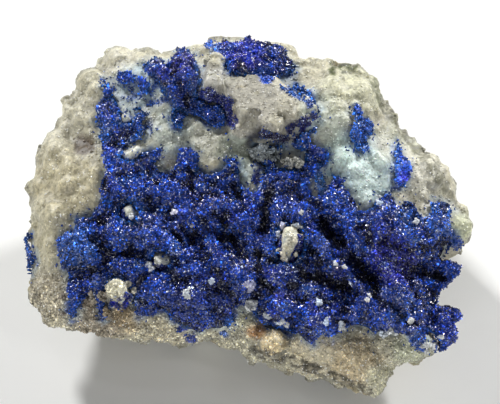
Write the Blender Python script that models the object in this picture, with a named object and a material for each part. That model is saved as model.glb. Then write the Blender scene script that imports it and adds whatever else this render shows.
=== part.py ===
"""Linarite specimen: blue linarite crusts grown on a quartz-coated piece of rock.

The showing face has its own frame, in millimetres: u to the right, v up the face
and w straight out of it. face_point lays that frame back over the surface that
the specimen rests on. Each crust follows the rock under it, and stays clear of it
by CRUST_GAP.
"""

import math

import bmesh
import bpy
from mathutils import Matrix, Vector, noise
from mathutils.geometry import delaunay_2d_cdt

MM = 0.001

# Driving sizes, in millimetres and degrees.
FACE_ELEVATION = 60.0
FACE_CENTRE_HEIGHT = 15.5
RIM_LEAN = -0.25
RIM_GROWTH = 0.45
DOME_HEIGHT = 9.0
DOME_ROUNDNESS = 2.6
DOME_POWER = 0.55
FOOT_DEPTH = 0.8
FOOT_BULGE = 0.82
WING_BULGE = 0.50
WING_FROM = -8.0
BULGE_HEIGHT = 0.30

ROCK_VOXEL = 1.25
ROCK_KEPT_SHARE = 0.28
ROCK_COLUMNS = 120
FRONT_ROWS = 30
SIDE_ROWS = 14
FOOT_ROWS = 5

CRUST_GAP = 0.35
CRUST_RECESS = 1.0
CRUST_RISE = 1.0
RECESS_WIDTH = 2.0
CRUST_STEP = 1.75
CRUST_DEPTH = 4.5
FREE_CRUST_DEPTH = 2.6

ROUGH_SCALE, ROUGH_HEIGHT = 9.0, 1.1
KNOB_SCALE, KNOB_HEIGHT = 3.4, 0.55
FRONT_ROUGHNESS, SIDE_ROUGHNESS = 0.35, 1.7

NOISE_SEED = 5
SEED_ROCK = Vector((3.1, 7.7, 1.9))
SEED_CRUST = Vector((11.3, 2.4, 5.8))

# The rim of the rock as seen square on to the face, anticlockwise from the right tip.
RIM_CENTRE = (0.0, -2.0)
RIM = [
    (36.2, -4.7), (35.5, -3.0), (33.9, -1.5), (32.6, 2.2), (31.8, 4.0), (31.4, 5.3),
    (29.1, 6.8), (27.0, 8.6), (25.4, 9.9), (23.5, 12.6), (21.8, 14.7), (21.7, 16.5),
    (20.2, 18.8), (19.2, 20.6), (16.6, 22.1), (13.6, 21.4), (12.2, 22.4), (8.5, 22.6),
    (7.2, 24.2), (6.1, 25.8), (2.7, 25.4), (-0.5, 26.2), (-3.2, 26.0), (-6.1, 25.7),
    (-7.2, 25.3), (-10.4, 24.6), (-11.8, 24.2), (-13.2, 22.8), (-14.7, 23.3),
    (-16.5, 24.2), (-18.1, 23.5), (-19.5, 24.2), (-20.8, 24.2), (-22.2, 23.0),
    (-23.4, 21.1), (-25.4, 20.7), (-26.5, 20.1), (-27.2, 18.1), (-28.0, 15.6),
    (-29.0, 16.0), (-30.3, 15.1), (-29.9, 13.0), (-30.1, 11.7), (-33.1, 9.4),
    (-34.2, 7.8), (-34.1, 7.0), (-35.2, 0.0), (-35.0, -3.4), (-34.7, -7.7),
    (-34.9, -11.5), (-34.7, -13.8), (-33.4, -14.8), (-33.1, -16.3), (-32.3, -18.9),
    (-31.4, -19.7), (-28.0, -20.0), (-25.8, -20.5), (-24.6, -21.3), (-18.1, -21.4),
    (-14.6, -21.3), (-10.7, -21.0), (-9.6, -21.6), (-5.6, -21.0), (-3.0, -21.7),
    (-1.8, -22.4), (0.0, -23.8), (2.6, -24.6), (6.4, -25.5), (9.6, -26.6),
    (12.5, -27.0), (15.3, -28.3), (17.9, -29.3), (19.0, -30.6), (20.4, -30.4),
    (21.7, -28.8), (22.2, -27.3), (24.2, -25.5), (26.7, -25.1), (28.0, -24.3),
    (29.1, -25.1), (30.2, -25.2), (29.6, -23.5), (28.9, -20.5), (28.3, -15.7),
    (28.8, -11.2), (30.0, -8.6), (32.6, -7.1), (34.2, -5.9),
]

# The flat area that the specimen rests on, seen from above, anticlockwise.
FOOT_CENTRE = (6.0, -1.0)
FOOT = [
    (25.0, -4.0), (24.0, 5.0), (18.0, 12.0), (8.0, 16.5), (-3.0, 16.0), (-11.0, 11.0),
    (-15.0, 3.0), (-13.5, -6.0), (-8.0, -13.5), (2.0, -17.5), (13.0, -19.0),
    (21.0, -14.0),
]

# Swellings of the bare rock face: u, v, radius, height.
ROCK_SWELLINGS = [
    (-0.8, 22.5, 7.0, 3.6), (-10.9, 20.3, 6.0, 3.4), (-15.2, 21.0, 4.0, 2.4),
    (-20.5, 22.0, 3.4, 2.4), (-26.5, 17.5, 3.4, 1.6), (-31.0, 8.0, 3.6, 1.8),
    (-32.0, 0.5, 4.5, 1.6), (-31.5, -8.0, 3.6, 1.8), (-31.0, -15.5, 4.4, 1.8),
    (-25.0, -18.0, 3.8, 1.6), (-20.0, -18.0, 3.0, 1.4), (-20.3, -14.5, 2.0, 2.4),
    (-14.0, -20.0, 3.0, 1.2), (-1.0, -19.5, 3.2, 1.8), (3.6, -22.3, 2.8, 2.2),
    (12.8, -24.6, 4.0, 1.4), (18.0, -26.5, 4.4, 1.8), (23.0, -23.0, 3.4, 1.4),
    (14.5, 15.0, 7.0, 1.8), (18.0, 5.0, 5.0, 1.5), (27.0, 5.0, 4.0, 1.4),
    (33.5, -4.0, 3.0, 1.6), (-15.0, 10.5, 4.5, 1.2), (-6.0, 8.0, 3.6, 1.4),
    (-24.0, 3.0, 6.5, 1.6), (-16.0, -3.0, 8.0, 1.5), (-27.0, -7.0, 4.5, 1.4),
    (-8.0, -13.0, 8.0, 2.0), (24.5, -5.0, 6.5, 1.6), (24.0, -17.0, 7.0, 2.2),
    (9.0, -16.0, 8.0, 1.2),
]

# Hollows of the rock face: u, v, radius along, radius across, turn in degrees, depth.
ROCK_HOLLOWS = [
    (3.5, 7.6, 7.5, 3.4, 0.0, 3.6), (-26.7, 9.4, 2.0, 1.6, 0.0, 2.0),
    (13.4, -4.4, 5.4, 2.0, -52.0, 3.6), (18.2, -11.8, 5.6, 2.0, -58.0, 4.2),
    (14.9, -13.8, 2.4, 3.0, 0.0, 4.0), (27.0, -11.8, 3.8, 2.2, 20.0, 3.0),
    (-9.0, -5.5, 2.4, 4.5, 0.0, 2.6), (-3.0, -6.0, 3.6, 2.6, 30.0, 2.6),
    (-19.0, -7.5, 2.2, 2.0, 0.0, 2.2), (2.2, -3.5, 2.0, 4.0, 10.0, 2.2),
    (14.8, -17.2, 2.0, 1.2, 0.0, 1.8), (22.5, -17.0, 3.2, 1.5, -20.0, 1.6),
    (-14.6, 5.2, 3.4, 2.4, 20.0, 1.4), (-9.6, 16.5, 2.4, 3.4, 0.0, 1.8),
]

# Quartz knobs that stand proud or overhang: u, v, radius, how far the centre is raised.
QUARTZ_KNOBS = [
    (1.9, 15.2, 4.6, 0.9), (6.3, 14.2, 3.0, 2.0), (-1.6, 16.9, 2.9, 1.3),
    (-5.1, 19.6, 2.2, 0.8), (-6.9, 17.6, 1.4, 1.0), (3.0, 12.2, 2.0, 3.1),
    (-1.8, 11.6, 1.1, 2.6), (4.6, 10.6, 1.2, 2.8), (9.0, 13.0, 1.5, 1.8),
    (6.2, -6.4, 1.9, 1.6), (6.0, -8.6, 1.2, 1.6), (7.0, 6.2, 1.9, -0.2),
    (-18.9, -1.7, 1.5, 0.9), (-14.0, -9.3, 1.5, 1.0), (-19.5, 13.4, 1.2, 0.9),
    (-20.4, -14.3, 1.7, 0.7), (3.6, -22.0, 2.0, 0.8), (-17.0, -18.4, 1.2, 0.6),
    (29.4, -23.4, 1.1, 1.0), (-18.7, 7.9, 1.3, 0.5),
]

# Blue lumps of the crusts: u, v, radius, height.
CRUST_LUMPS = [
    (-28.6, -6.8, 2.6, 2.6), (-26.4, -3.6, 2.4, 2.2), (-25.2, -8.4, 2.4, 2.0),
    (-21.0, -4.6, 3.0, 2.6), (-19.4, -10.4, 3.0, 2.4), (-16.2, -4.6, 3.0, 2.4),
    (-12.2, -6.6, 2.4, 3.0), (-14.4, -14.2, 3.4, 2.4), (-9.0, -15.8, 3.6, 2.8),
    (-6.8, -19.2, 2.2, 2.4), (-9.6, -1.8, 2.4, 2.2), (-5.8, -0.4, 2.8, 2.4),
    (-4.2, -8.6, 2.4, 2.0), (-0.8, -12.4, 3.0, 2.4), (-0.6, -3.0, 2.2, 2.0),
    (-22.0, 2.6, 2.4, 2.0), (-17.8, 2.2, 2.6, 2.4), (-12.6, 1.6, 2.6, 2.2),
    (-20.4, 6.0, 2.0, 1.6), (-21.6, 12.6, 2.2, 1.6), (-11.2, 6.6, 1.8, 1.6),
    (-24.6, -12.6, 2.2, 1.6), (-28.0, -15.6, 1.2, 1.0), (-10.8, 22.6, 3.0, 2.2),
    (-14.2, 21.6, 2.4, 1.8), (-9.4, 18.6, 2.4, 1.8), (-4.6, 14.6, 2.2, 1.8),
    (-8.4, 14.6, 2.0, 1.4), (-0.2, 24.4, 2.6, 2.0), (-4.2, 24.2, 2.4, 1.4),
    (3.6, 23.2, 2.8, 1.8), (-0.8, 21.2, 2.2, 1.6), (10.4, 12.0, 1.4, 1.4),
    (11.6, 7.2, 1.6, 1.4), (14.4, 1.2, 1.6, 1.8), (22.0, -1.6, 2.0, 1.6),
    (29.8, -3.2, 2.2, 1.4), (5.2, -16.6, 3.0, 2.4), (10.4, -18.6, 2.8, 2.4),
    (16.6, -17.6, 2.2, 2.0), (20.6, -19.0, 2.0, 1.8), (26.0, -18.4, 2.4, 2.0),
    (30.6, -20.8, 2.8, 2.2), (31.4, -17.6, 1.8, 1.4), (5.0, -12.0, 2.4, 1.8),
    (2.8, -8.0, 1.8, 1.6), (18.0, 9.8, 1.6, 1.2), (24.4, 4.6, 1.2, 1.2),
]

# Upright plates in the crusts: u and v of both ends, half thickness, height.
CRUST_PLATES = [
    (7.6, -1.6, 13.0, -8.0, 1.1, 3.0), (13.0, -8.0, 18.2, -14.6, 1.0, 4.2),
    (12.6, 0.2, 17.6, -7.0, 1.4, 2.6), (17.6, -6.0, 24.8, -14.6, 1.9, 3.4),
    (20.0, -3.6, 28.0, -7.6, 1.6, 2.0), (25.0, -8.8, 33.2, -9.8, 1.0, 2.2),
    (1.4, -1.0, 4.2, -13.0, 0.9, 1.8), (24.0, -15.6, 31.0, -16.6, 1.1, 1.6),
    (-23.7, 2.0, -23.4, 19.6, 0.9, 0.9), (-29.0, -10.0, -28.3, -19.6, 0.8, 0.8),
    (8.0, 9.8, 9.6, 12.6, 0.8, 1.2), (-12.6, -9.4, -6.2, -12.0, 1.0, 1.4),
]

MAIN_CRUST = [
    (-30.7, -6.6), (-30.2, -5.3), (-28.3, -4.8), (-28.0, -2.7), (-26.7, -2.1),
    (-25.3, -2.7), (-24.6, -1.4), (-23.7, 0.0), (-24.2, 2.4), (-23.2, 5.3),
    (-23.5, 7.8), (-24.2, 11.5), (-24.6, 13.0), (-24.5, 16.0), (-23.8, 17.0),
    (-23.6, 20.0), (-22.7, 20.0), (-21.9, 17.6), (-20.5, 14.9), (-17.6, 15.4),
    (-16.5, 14.4), (-17.3, 12.8), (-16.6, 11.8), (-17.4, 10.2), (-20.2, 8.4),
    (-19.5, 7.0), (-17.0, 8.4), (-14.4, 8.6), (-14.6, 7.0), (-15.8, 6.2),
    (-14.4, 5.1), (-12.5, 4.8), (-12.0, 6.7), (-11.3, 8.7), (-9.9, 9.1),
    (-8.8, 8.0), (-8.3, 5.4), (-6.4, 4.8), (-4.5, 5.1), (-3.9, 7.2), (-2.9, 7.5),
    (-1.9, 5.9), (-1.3, 3.2), (0.0, 1.1), (1.3, 1.9), (1.5, 6.7), (0.7, 8.8),
    (1.9, 9.8), (4.0, 8.9), (6.4, 9.2), (8.0, 10.2), (8.9, 12.0), (9.7, 13.4),
    (9.3, 15.4), (8.0, 16.8), (6.6, 17.9), (7.4, 19.2), (8.7, 18.4), (10.1, 16.8),
    (11.2, 15.0), (11.2, 13.1), (10.2, 11.4), (9.6, 10.1), (10.2, 9.1),
    (11.7, 8.6), (12.8, 8.0), (12.3, 6.4), (11.0, 5.0), (9.6, 3.5), (9.5, 2.4),
    (10.4, 1.1), (12.0, 1.3), (12.8, 3.5), (13.6, 4.6), (14.7, 4.2), (15.4, 2.4),
    (16.4, 1.2), (17.1, -0.2), (18.1, -1.6), (19.5, -0.8), (20.5, 0.9), (21.4, 0.9),
    (21.9, 1.8), (22.9, 0.6), (23.8, -0.8), (24.5, 0.3), (25.8, 0.3), (26.6, -1.0),
    (27.8, -2.4), (28.6, -1.8), (28.8, -0.3), (29.9, 0.2), (31.5, -0.2),
    (32.8, -0.7), (32.4, -2.2), (32.2, -3.8), (33.0, -5.4), (32.6, -7.0),
    (30.9, -8.4), (30.2, -9.3), (33.0, -9.2), (34.0, -10.4), (33.1, -11.8),
    (32.3, -12.8), (31.0, -13.9), (30.4, -15.2), (30.7, -16.3), (31.8, -16.8),
    (33.3, -16.6), (33.7, -17.6), (33.0, -18.9), (33.4, -20.5), (33.1, -21.8),
    (31.8, -23.2), (30.4, -24.1), (29.8, -23.0), (29.1, -21.8), (27.2, -22.2),
    (25.9, -21.3), (24.0, -20.8), (21.6, -20.5), (19.7, -21.0), (18.4, -20.0),
    (16.0, -19.7), (14.6, -20.6), (12.8, -21.3), (11.4, -20.8), (9.9, -22.6),
    (8.6, -22.0), (7.8, -21.0), (5.6, -20.8), (3.2, -20.0), (1.1, -18.6),
    (-0.2, -17.1), (-1.6, -16.3), (-2.4, -17.2), (-2.6, -18.9), (-3.4, -21.2),
    (-4.8, -20.2), (-6.9, -20.3), (-8.8, -21.6), (-10.4, -20.9), (-11.2, -19.6),
    (-13.0, -18.7), (-13.5, -17.4), (-15.5, -18.2), (-17.4, -19.2), (-18.1, -17.8),
    (-18.4, -16.0), (-18.6, -14.1), (-20.0, -12.8), (-21.9, -12.9), (-22.7, -14.6),
    (-22.8, -17.6), (-23.2, -19.2), (-24.0, -18.2), (-24.4, -16.3), (-25.4, -14.8),
    (-27.0, -15.6), (-27.5, -18.8), (-28.5, -19.4), (-29.2, -17.8), (-29.0, -14.2),
    (-29.3, -11.2), (-30.1, -10.1), (-30.6, -8.3),
]

CROWN_CRUST = [
    (-6.9, 25.2), (-6.1, 25.9), (-4.3, 26.2), (-1.6, 26.3), (-0.6, 26.8), (0.8, 26.1),
    (2.9, 25.8), (4.3, 25.3), (5.8, 24.5), (6.1, 23.5), (7.2, 22.2), (7.9, 21.2),
    (6.7, 20.4), (5.1, 20.3), (4.3, 19.4), (3.0, 19.2), (2.2, 18.6), (1.4, 19.6),
    (0.4, 20.4), (-1.0, 19.6), (-2.0, 20.3), (-2.7, 20.8), (-3.2, 19.4),
    (-4.0, 20.0), (-4.5, 21.3), (-4.4, 22.7), (-5.4, 23.6), (-6.3, 24.4),
]

SHOULDER_CRUST = [
    (-17.4, 21.8), (-15.8, 22.9), (-14.7, 23.5), (-13.2, 23.0), (-12.5, 23.5),
    (-11.6, 24.8), (-10.4, 25.0), (-9.3, 24.0), (-8.5, 22.1), (-7.8, 21.0),
    (-7.7, 18.6), (-8.4, 17.6), (-7.5, 16.6), (-6.2, 16.2), (-5.4, 17.3),
    (-4.7, 17.9), (-3.8, 16.8), (-3.4, 15.6), (-2.3, 15.6), (-2.0, 14.8),
    (-2.9, 13.8), (-3.8, 13.2), (-4.5, 12.2), (-6.1, 12.2), (-7.2, 13.2),
    (-8.8, 14.2), (-10.2, 14.2), (-10.8, 13.0), (-11.1, 11.7), (-12.4, 12.2),
    (-13.2, 13.6), (-12.7, 14.9), (-12.4, 16.2), (-13.5, 16.8), (-14.5, 17.6),
    (-14.8, 19.0), (-15.3, 20.4), (-16.5, 20.8),
]

SMALL_CRUSTS = {
    "linarite_left_tip": [
        (-36.6, -6.1), (-35.2, -4.6), (-33.6, -4.8), (-33.4, -7.4), (-33.8, -9.8),
        (-34.0, -12.6), (-35.4, -11.8), (-35.7, -9.0),
    ],
    "linarite_sprig": [
        (17.1, 15.6), (16.5, 14.5), (17.2, 12.6), (15.7, 11.0), (16.1, 9.0),
        (17.0, 8.0), (18.5, 8.1), (19.0, 9.3), (18.7, 10.6), (19.7, 10.6),
        (20.0, 12.2), (18.6, 13.5),
    ],
    "linarite_streak": [
        (23.8, 10.2), (23.1, 8.2), (22.9, 5.1), (23.0, 2.4), (24.4, 2.3),
        (25.2, 3.5), (25.4, 5.1), (25.7, 6.8), (24.7, 7.6), (24.3, 9.0),
    ],
    "linarite_bead": [
        (-21.4, 20.9), (-19.5, 21.2), (-19.0, 19.9), (-20.4, 18.8), (-21.6, 19.5),
    ],
    "linarite_strand": [
        (-17.9, 20.2), (-16.9, 19.9), (-16.2, 19.0), (-16.4, 17.4), (-17.7, 17.3),
        (-18.2, 18.8),
    ],
}

# Planes along which the rock broke, under the rim: outward normal in the scene's frame,
# and how far the plane passes below the rim point that it comes nearest to.
BREAKS = [
    ((0.62, 0.45, -0.64), 3.4), ((-0.46, 0.12, -0.88), 2.6), ((0.10, -0.74, -0.66), 0.9),
    ((-0.28, 0.78, -0.56), 1.2), ((0.55, -0.10, -0.83), 0.9), ((0.22, 0.93, -0.28), 0.8),
    ((-0.35, -0.45, -0.82), 0.8), ((-0.70, 0.55, -0.46), 0.9),
]

# The point in the rock that the crusts' sides lean towards, in the scene's frame.
CORE = (2.0, -1.0, 8.0)


def clear_scene():
    """Empties the scene."""
    for thing in list(bpy.data.objects):
        bpy.data.objects.remove(thing)


def face_point(u, v, w):
    """The place in the scene, in metres, of a point in the face's frame."""
    lean = math.radians(FACE_ELEVATION)
    return Vector((
        u,
        v * math.sin(lean) - w * math.cos(lean),
        v * math.cos(lean) + w * math.sin(lean) + FACE_CENTRE_HEIGHT,
    )) * MM


def reach(outline, centre, angle):
    """How far an outline is from its centre in the direction of an angle."""
    direction = Vector((math.cos(angle), math.sin(angle)))
    across = Vector((-direction.y, direction.x))
    farthest = 0.0
    for here, after in zip(outline, outline[1:] + outline[:1]):
        a = Vector(here) - Vector(centre)
        b = Vector(after) - Vector(centre)
        side_a, side_b = a.dot(across), b.dot(across)
        if (side_a > 0) == (side_b > 0):
            continue
        crossing = a.lerp(b, side_a / (side_a - side_b))
        farthest = max(farthest, crossing.dot(direction))
    return farthest


def depth_inside(outline, point):
    """Distance from a point to an outline: positive inside it, negative outside."""
    nearest = math.inf
    inside = False
    for here, after in zip(outline, outline[1:] + outline[:1]):
        a, b = Vector(here), Vector(after)
        along = b - a
        share = max(0.0, min(1.0, (point - a).dot(along) / along.length_squared))
        nearest = min(nearest, (point - a - along * share).length)
        if (a.y > point.y) != (b.y > point.y):
            if point.x < a.x + (point.y - a.y) * (b.x - a.x) / (b.y - a.y):
                inside = not inside
    return nearest if inside else -nearest


def smooth_step(low, high, value):
    """0 below low, 1 above high, and an even curve between."""
    t = max(0.0, min(1.0, (value - low) / (high - low)))
    return t * t * (3 - 2 * t)


def swell(point, u, v, radius, height):
    """Height of a rounded swelling over a point of the face."""
    away = (point - Vector((u, v))).length / radius
    return height * (1 - away * away) ** 0.8 if away < 1 else 0.0


def sink(point, u, v, along, across, turn, depth):
    """Depth of an oval hollow under a point of the face."""
    offset = (point - Vector((u, v)))
    offset.rotate(Matrix.Rotation(-math.radians(turn), 2))
    away = math.hypot(offset.x / along, offset.y / across)
    return depth * (1 - away * away) ** 2 if away < 1 else 0.0


def plate(point, u0, v0, u1, v1, half_width, height):
    """Height of an upright plate over a point of the face; it tapers to its ends."""
    start, end = Vector((u0, v0)), Vector((u1, v1))
    along = end - start
    share = max(0.0, min(1.0, (point - start).dot(along) / along.length_squared))
    away = (point - start - along * share).length / (half_width * 1.6)
    taper = 0.55 + 0.45 * math.sin(math.pi * share)
    return height * taper * (1 - away) ** 0.8 if away < 1 else 0.0


def rim_share(point):
    """0 at the centre of the face, 1 on its rim."""
    offset = point - Vector(RIM_CENTRE)
    if offset.length < 0.01:
        return 0.0
    return offset.length / reach(RIM, RIM_CENTRE, math.atan2(offset.y, offset.x))


def rock_height(point):
    """w of the rock's showing face, before the crusts' beds are sunk into it."""
    share = min(1.0, rim_share(point))
    dome = DOME_HEIGHT * (1 - share ** DOME_ROUNDNESS) ** DOME_POWER
    fade = smooth_step(0.0, 0.12, 1 - share) * 0.75 + 0.25
    swelling = max(swell(point, *each) for each in ROCK_SWELLINGS)
    hollow = max(sink(point, *each) for each in ROCK_HOLLOWS)
    return RIM_LEAN * point.y + dome + (swelling - hollow) * fade


def all_crusts():
    """Every crust's name and outline."""
    return {
        "linarite_main_crust": MAIN_CRUST,
        "linarite_crown": CROWN_CRUST,
        "linarite_shoulder": SHOULDER_CRUST,
        **SMALL_CRUSTS,
    }


def clear_of_knobs(point):
    """0 on a quartz knob and 1 well away from all of them."""
    share = 1.0
    for u, v, radius, _ in QUARTZ_KNOBS:
        away = (point - Vector((u, v))).length
        share = min(share, smooth_step(radius * 0.7, radius * 1.7, away))
    return share


def bed_depth(point):
    """How deep the rock is sunk under the crusts, so that they stand only a little proud."""
    inside = max(depth_inside(outline, point) for outline in all_crusts().values())
    return CRUST_RECESS * smooth_step(-0.4, RECESS_WIDTH, inside) * clear_of_knobs(point)


def crust_height(point, outline):
    """w of a crust's outer surface."""
    inside = smooth_step(0.0, 1.6, depth_inside(outline, point))
    lump = max(swell(point, *each) for each in CRUST_LUMPS)
    upright = max(plate(point, *each) for each in CRUST_PLATES)
    grain = noise.noise(Vector((point.x, point.y, 0)) / 1.9 + SEED_CRUST)
    relief = (max(lump, upright) + 0.45 * grain) * (0.3 + 0.7 * clear_of_knobs(point))
    return rock_height(point) + CRUST_RISE + relief * (0.35 + 0.65 * inside)


def roughen(position, strength):
    """A displacement of broken rock: broad knobs with smaller ones on them."""
    at = position / MM
    broad = noise.noise_vector(at / ROUGH_SCALE + SEED_ROCK) * ROUGH_HEIGHT
    small = noise.noise_vector(at / KNOB_SCALE - SEED_ROCK) * KNOB_HEIGHT
    return (broad + small) * strength * MM


def over_face(point, height):
    """The place in the scene of a height over the face, moved as the rock there is."""
    bed = face_point(point.x, point.y, rock_height(point) - bed_depth(point))
    return face_point(point.x, point.y, height) + roughen(bed, FRONT_ROUGHNESS)


def front_point(angle, share):
    """A point of the rock's showing face at an angle round it and a share of its reach."""
    length = reach(RIM, RIM_CENTRE, angle) * share
    direction = Vector((math.cos(angle), math.sin(angle)))
    flat = Vector(RIM_CENTRE) + direction * length
    place = over_face(flat, rock_height(flat) - bed_depth(flat))
    outward = face_point(*direction, 0.0) - face_point(0.0, 0.0, 0.0)
    return place + outward * RIM_GROWTH * share ** 6


def side_point(angle, share):
    """A point of the rock's side: share 0 on the rim, 1 on the edge of the foot."""
    top = front_point(angle, 1.0)
    outward = math.atan2(top.y / MM - FOOT_CENTRE[1], top.x / MM - FOOT_CENTRE[0])
    length = reach(FOOT, FOOT_CENTRE, outward)
    foot = Vector((
        FOOT_CENTRE[0] + math.cos(outward) * length,
        FOOT_CENTRE[1] + math.sin(outward) * length,
        -FOOT_DEPTH,
    )) * MM
    wing = smooth_step(WING_FROM, RIM[46][0], top.x / MM)
    bulge = FOOT_BULGE + (WING_BULGE - FOOT_BULGE) * wing
    belly = foot.lerp(Vector((top.x, top.y, 0.0)), bulge)
    belly.z = top.z * BULGE_HEIGHT
    above, below = top.lerp(belly, share), belly.lerp(foot, share)
    place = above.lerp(below, share)
    return place + roughen(place, SIDE_ROUGHNESS * math.sin(math.pi * share))


def rock_loft():
    """The rock before its knobs are added: a closed loft from the face's centre to the foot."""
    shell = bmesh.new()
    middle = Vector(RIM_CENTRE)
    height = rock_height(middle) - bed_depth(middle)
    crest = shell.verts.new(face_point(middle.x, middle.y, height))
    rings = []
    angles = [2 * math.pi * i / ROCK_COLUMNS for i in range(ROCK_COLUMNS)]
    for row in range(1, FRONT_ROWS + 1):
        share = math.sin(0.5 * math.pi * row / FRONT_ROWS)
        rings.append([shell.verts.new(front_point(a, share)) for a in angles])
    for row in range(1, SIDE_ROWS + 1):
        rings.append([shell.verts.new(side_point(a, row / SIDE_ROWS)) for a in angles])
    foot_middle = Vector((FOOT_CENTRE[0], FOOT_CENTRE[1], -FOOT_DEPTH)) * MM
    edge = [vert.co.copy() for vert in rings[-1]]
    for row in range(1, FOOT_ROWS):
        share = row / FOOT_ROWS
        rings.append([shell.verts.new(co.lerp(foot_middle, share)) for co in edge])
    base = shell.verts.new(foot_middle)
    for upper, lower in zip(rings, rings[1:]):
        for i in range(ROCK_COLUMNS):
            j = (i + 1) % ROCK_COLUMNS
            shell.faces.new((upper[i], lower[i], lower[j], upper[j]))
    for i in range(ROCK_COLUMNS):
        j = (i + 1) % ROCK_COLUMNS
        shell.faces.new((crest, rings[0][i], rings[0][j]))
        shell.faces.new((base, rings[-1][j], rings[-1][i]))
    return shell


def add_knobs(shell):
    """Adds each quartz knob to the rock's mesh, as a ball with a rough surface."""
    for u, v, radius, raised in QUARTZ_KNOBS:
        flat = Vector((u, v))
        centre = face_point(u, v, rock_height(flat) + raised)
        made = bmesh.ops.create_icosphere(
            shell, subdivisions=3, radius=radius * MM, matrix=Matrix.Translation(centre)
        )
        for vert in made["verts"]:
            vert.co += roughen(vert.co, 0.5)


def object_from(shell, name):
    """Puts a bmesh into the scene as an object and frees it."""
    bmesh.ops.recalc_face_normals(shell, faces=shell.faces)
    mesh = bpy.data.meshes.new(name)
    shell.to_mesh(mesh)
    shell.free()
    made = bpy.data.objects.new(name, mesh)
    bpy.context.scene.collection.objects.link(made)
    return made


def settle(made):
    """Makes an object's modifiers part of its mesh."""
    graph = bpy.context.evaluated_depsgraph_get()
    mesh = bpy.data.meshes.new_from_object(made.evaluated_get(graph))
    made.modifiers.clear()
    made.data = mesh


def cut_flat(made, through, normal):
    """Cuts off what lies beyond a plane and closes the cut with a flat face."""
    shell = bmesh.new()
    shell.from_mesh(made.data)
    everything = list(shell.verts) + list(shell.edges) + list(shell.faces)
    cut = bmesh.ops.bisect_plane(
        shell, geom=everything, plane_co=through, plane_no=normal, clear_outer=True,
        dist=0.01 * MM,
    )
    edges = [e for e in cut["geom_cut"] if isinstance(e, bmesh.types.BMEdge)]
    bmesh.ops.holes_fill(shell, edges=edges, sides=0)
    bmesh.ops.triangulate(shell, faces=[f for f in shell.faces if len(f.verts) > 3])
    shell.to_mesh(made.data)
    shell.free()


def finish_of(name, colour, roughness):
    """A plain material of one colour."""
    finish = bpy.data.materials.new(name)
    finish.use_nodes = True
    surface = finish.node_tree.nodes["Principled BSDF"]
    surface.inputs["Base Color"].default_value = (*colour, 1.0)
    surface.inputs["Roughness"].default_value = roughness
    surface.inputs["Metallic"].default_value = 0.0
    return finish


def build_rock():
    """The piece of rock with its quartz coating and every quartz knob, as one solid."""
    shell = rock_loft()
    add_knobs(shell)
    rock = object_from(shell, "quartz_matrix")
    fuse = rock.modifiers.new("fuse knobs", "REMESH")
    fuse.mode = "VOXEL"
    fuse.voxel_size = ROCK_VOXEL * MM
    thin = rock.modifiers.new("thin out", "DECIMATE")
    thin.ratio = ROCK_KEPT_SHARE
    settle(rock)
    for normal, clearance in BREAKS:
        outward = Vector(normal).normalized()
        rim = [face_point(u, v, RIM_LEAN * v) for u, v in RIM]
        nearest = max(rim, key=outward.dot)
        cut_flat(rock, nearest + outward * clearance * MM, outward)
    cut_flat(rock, Vector((0.0, 0.0, 0.0)), Vector((0.0, 0.0, -1.0)))
    rock.data.materials.append(finish_of("quartz_matrix", (0.50, 0.48, 0.40), 0.6))
    return rock


def crust_points(outline):
    """The outline's points and an even lattice of points well inside it."""
    points = [Vector(p) for p in outline]
    low_u, high_u = min(p.x for p in points), max(p.x for p in points)
    low_v, high_v = min(p.y for p in points), max(p.y for p in points)
    row_step = CRUST_STEP * math.sqrt(3) / 2
    lattice = []
    for row in range(int((high_v - low_v) / row_step) + 1):
        shift = 0.5 * CRUST_STEP * (row % 2)
        for column in range(int((high_u - low_u) / CRUST_STEP) + 1):
            at = Vector((low_u + shift + column * CRUST_STEP, low_v + row * row_step))
            if depth_inside(outline, at) > 0.45 * CRUST_STEP:
                lattice.append(at)
    return points + lattice


def crust_floor(point, top):
    """The place under a crust's surface: deep in the rock, or a plate's thickness beyond it."""
    over_rock = smooth_step(-0.02, 0.12, 1 - rim_share(point))
    depth = FREE_CRUST_DEPTH + (CRUST_DEPTH - FREE_CRUST_DEPTH) * over_rock
    straight = face_point(0.0, 0.0, -1.0) - face_point(0.0, 0.0, 0.0)
    inward = (Vector(CORE) * MM - top).normalized() + straight.normalized()
    return top + inward.normalized() * depth * MM


def build_crust(name, outline, rock, finish):
    """One crust: a slab with the relief of its lumps and plates, cut clear of the rock."""
    count = len(outline)
    ring = [(i, (i + 1) % count) for i in range(count)]
    points, _, triangles, *_ = delaunay_2d_cdt(crust_points(outline), ring, [], 1, 1e-5)
    shell = bmesh.new()
    tops, floors = [], []
    for point in points:
        top = over_face(point, crust_height(point, outline))
        tops.append(shell.verts.new(top))
        floors.append(shell.verts.new(crust_floor(point, top)))
    rim_edges = {}
    for a, b, c in triangles:
        shell.faces.new((tops[a], tops[b], tops[c]))
        shell.faces.new((floors[c], floors[b], floors[a]))
        for pair in ((a, b), (b, c), (c, a)):
            rim_edges[frozenset(pair)] = None if frozenset(pair) in rim_edges else pair
    for pair in filter(None, rim_edges.values()):
        a, b = pair
        shell.faces.new((tops[b], tops[a], floors[a], floors[b]))
    bmesh.ops.triangulate(shell, faces=shell.faces)
    crust = object_from(shell, name)
    crust.data.materials.append(finish)
    cut = crust.modifiers.new("bed", "BOOLEAN")
    cut.operation = "DIFFERENCE"
    cut.solver = "EXACT"
    cut.object = rock
    settle(crust)
    keep_largest(crust)
    return crust


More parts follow.
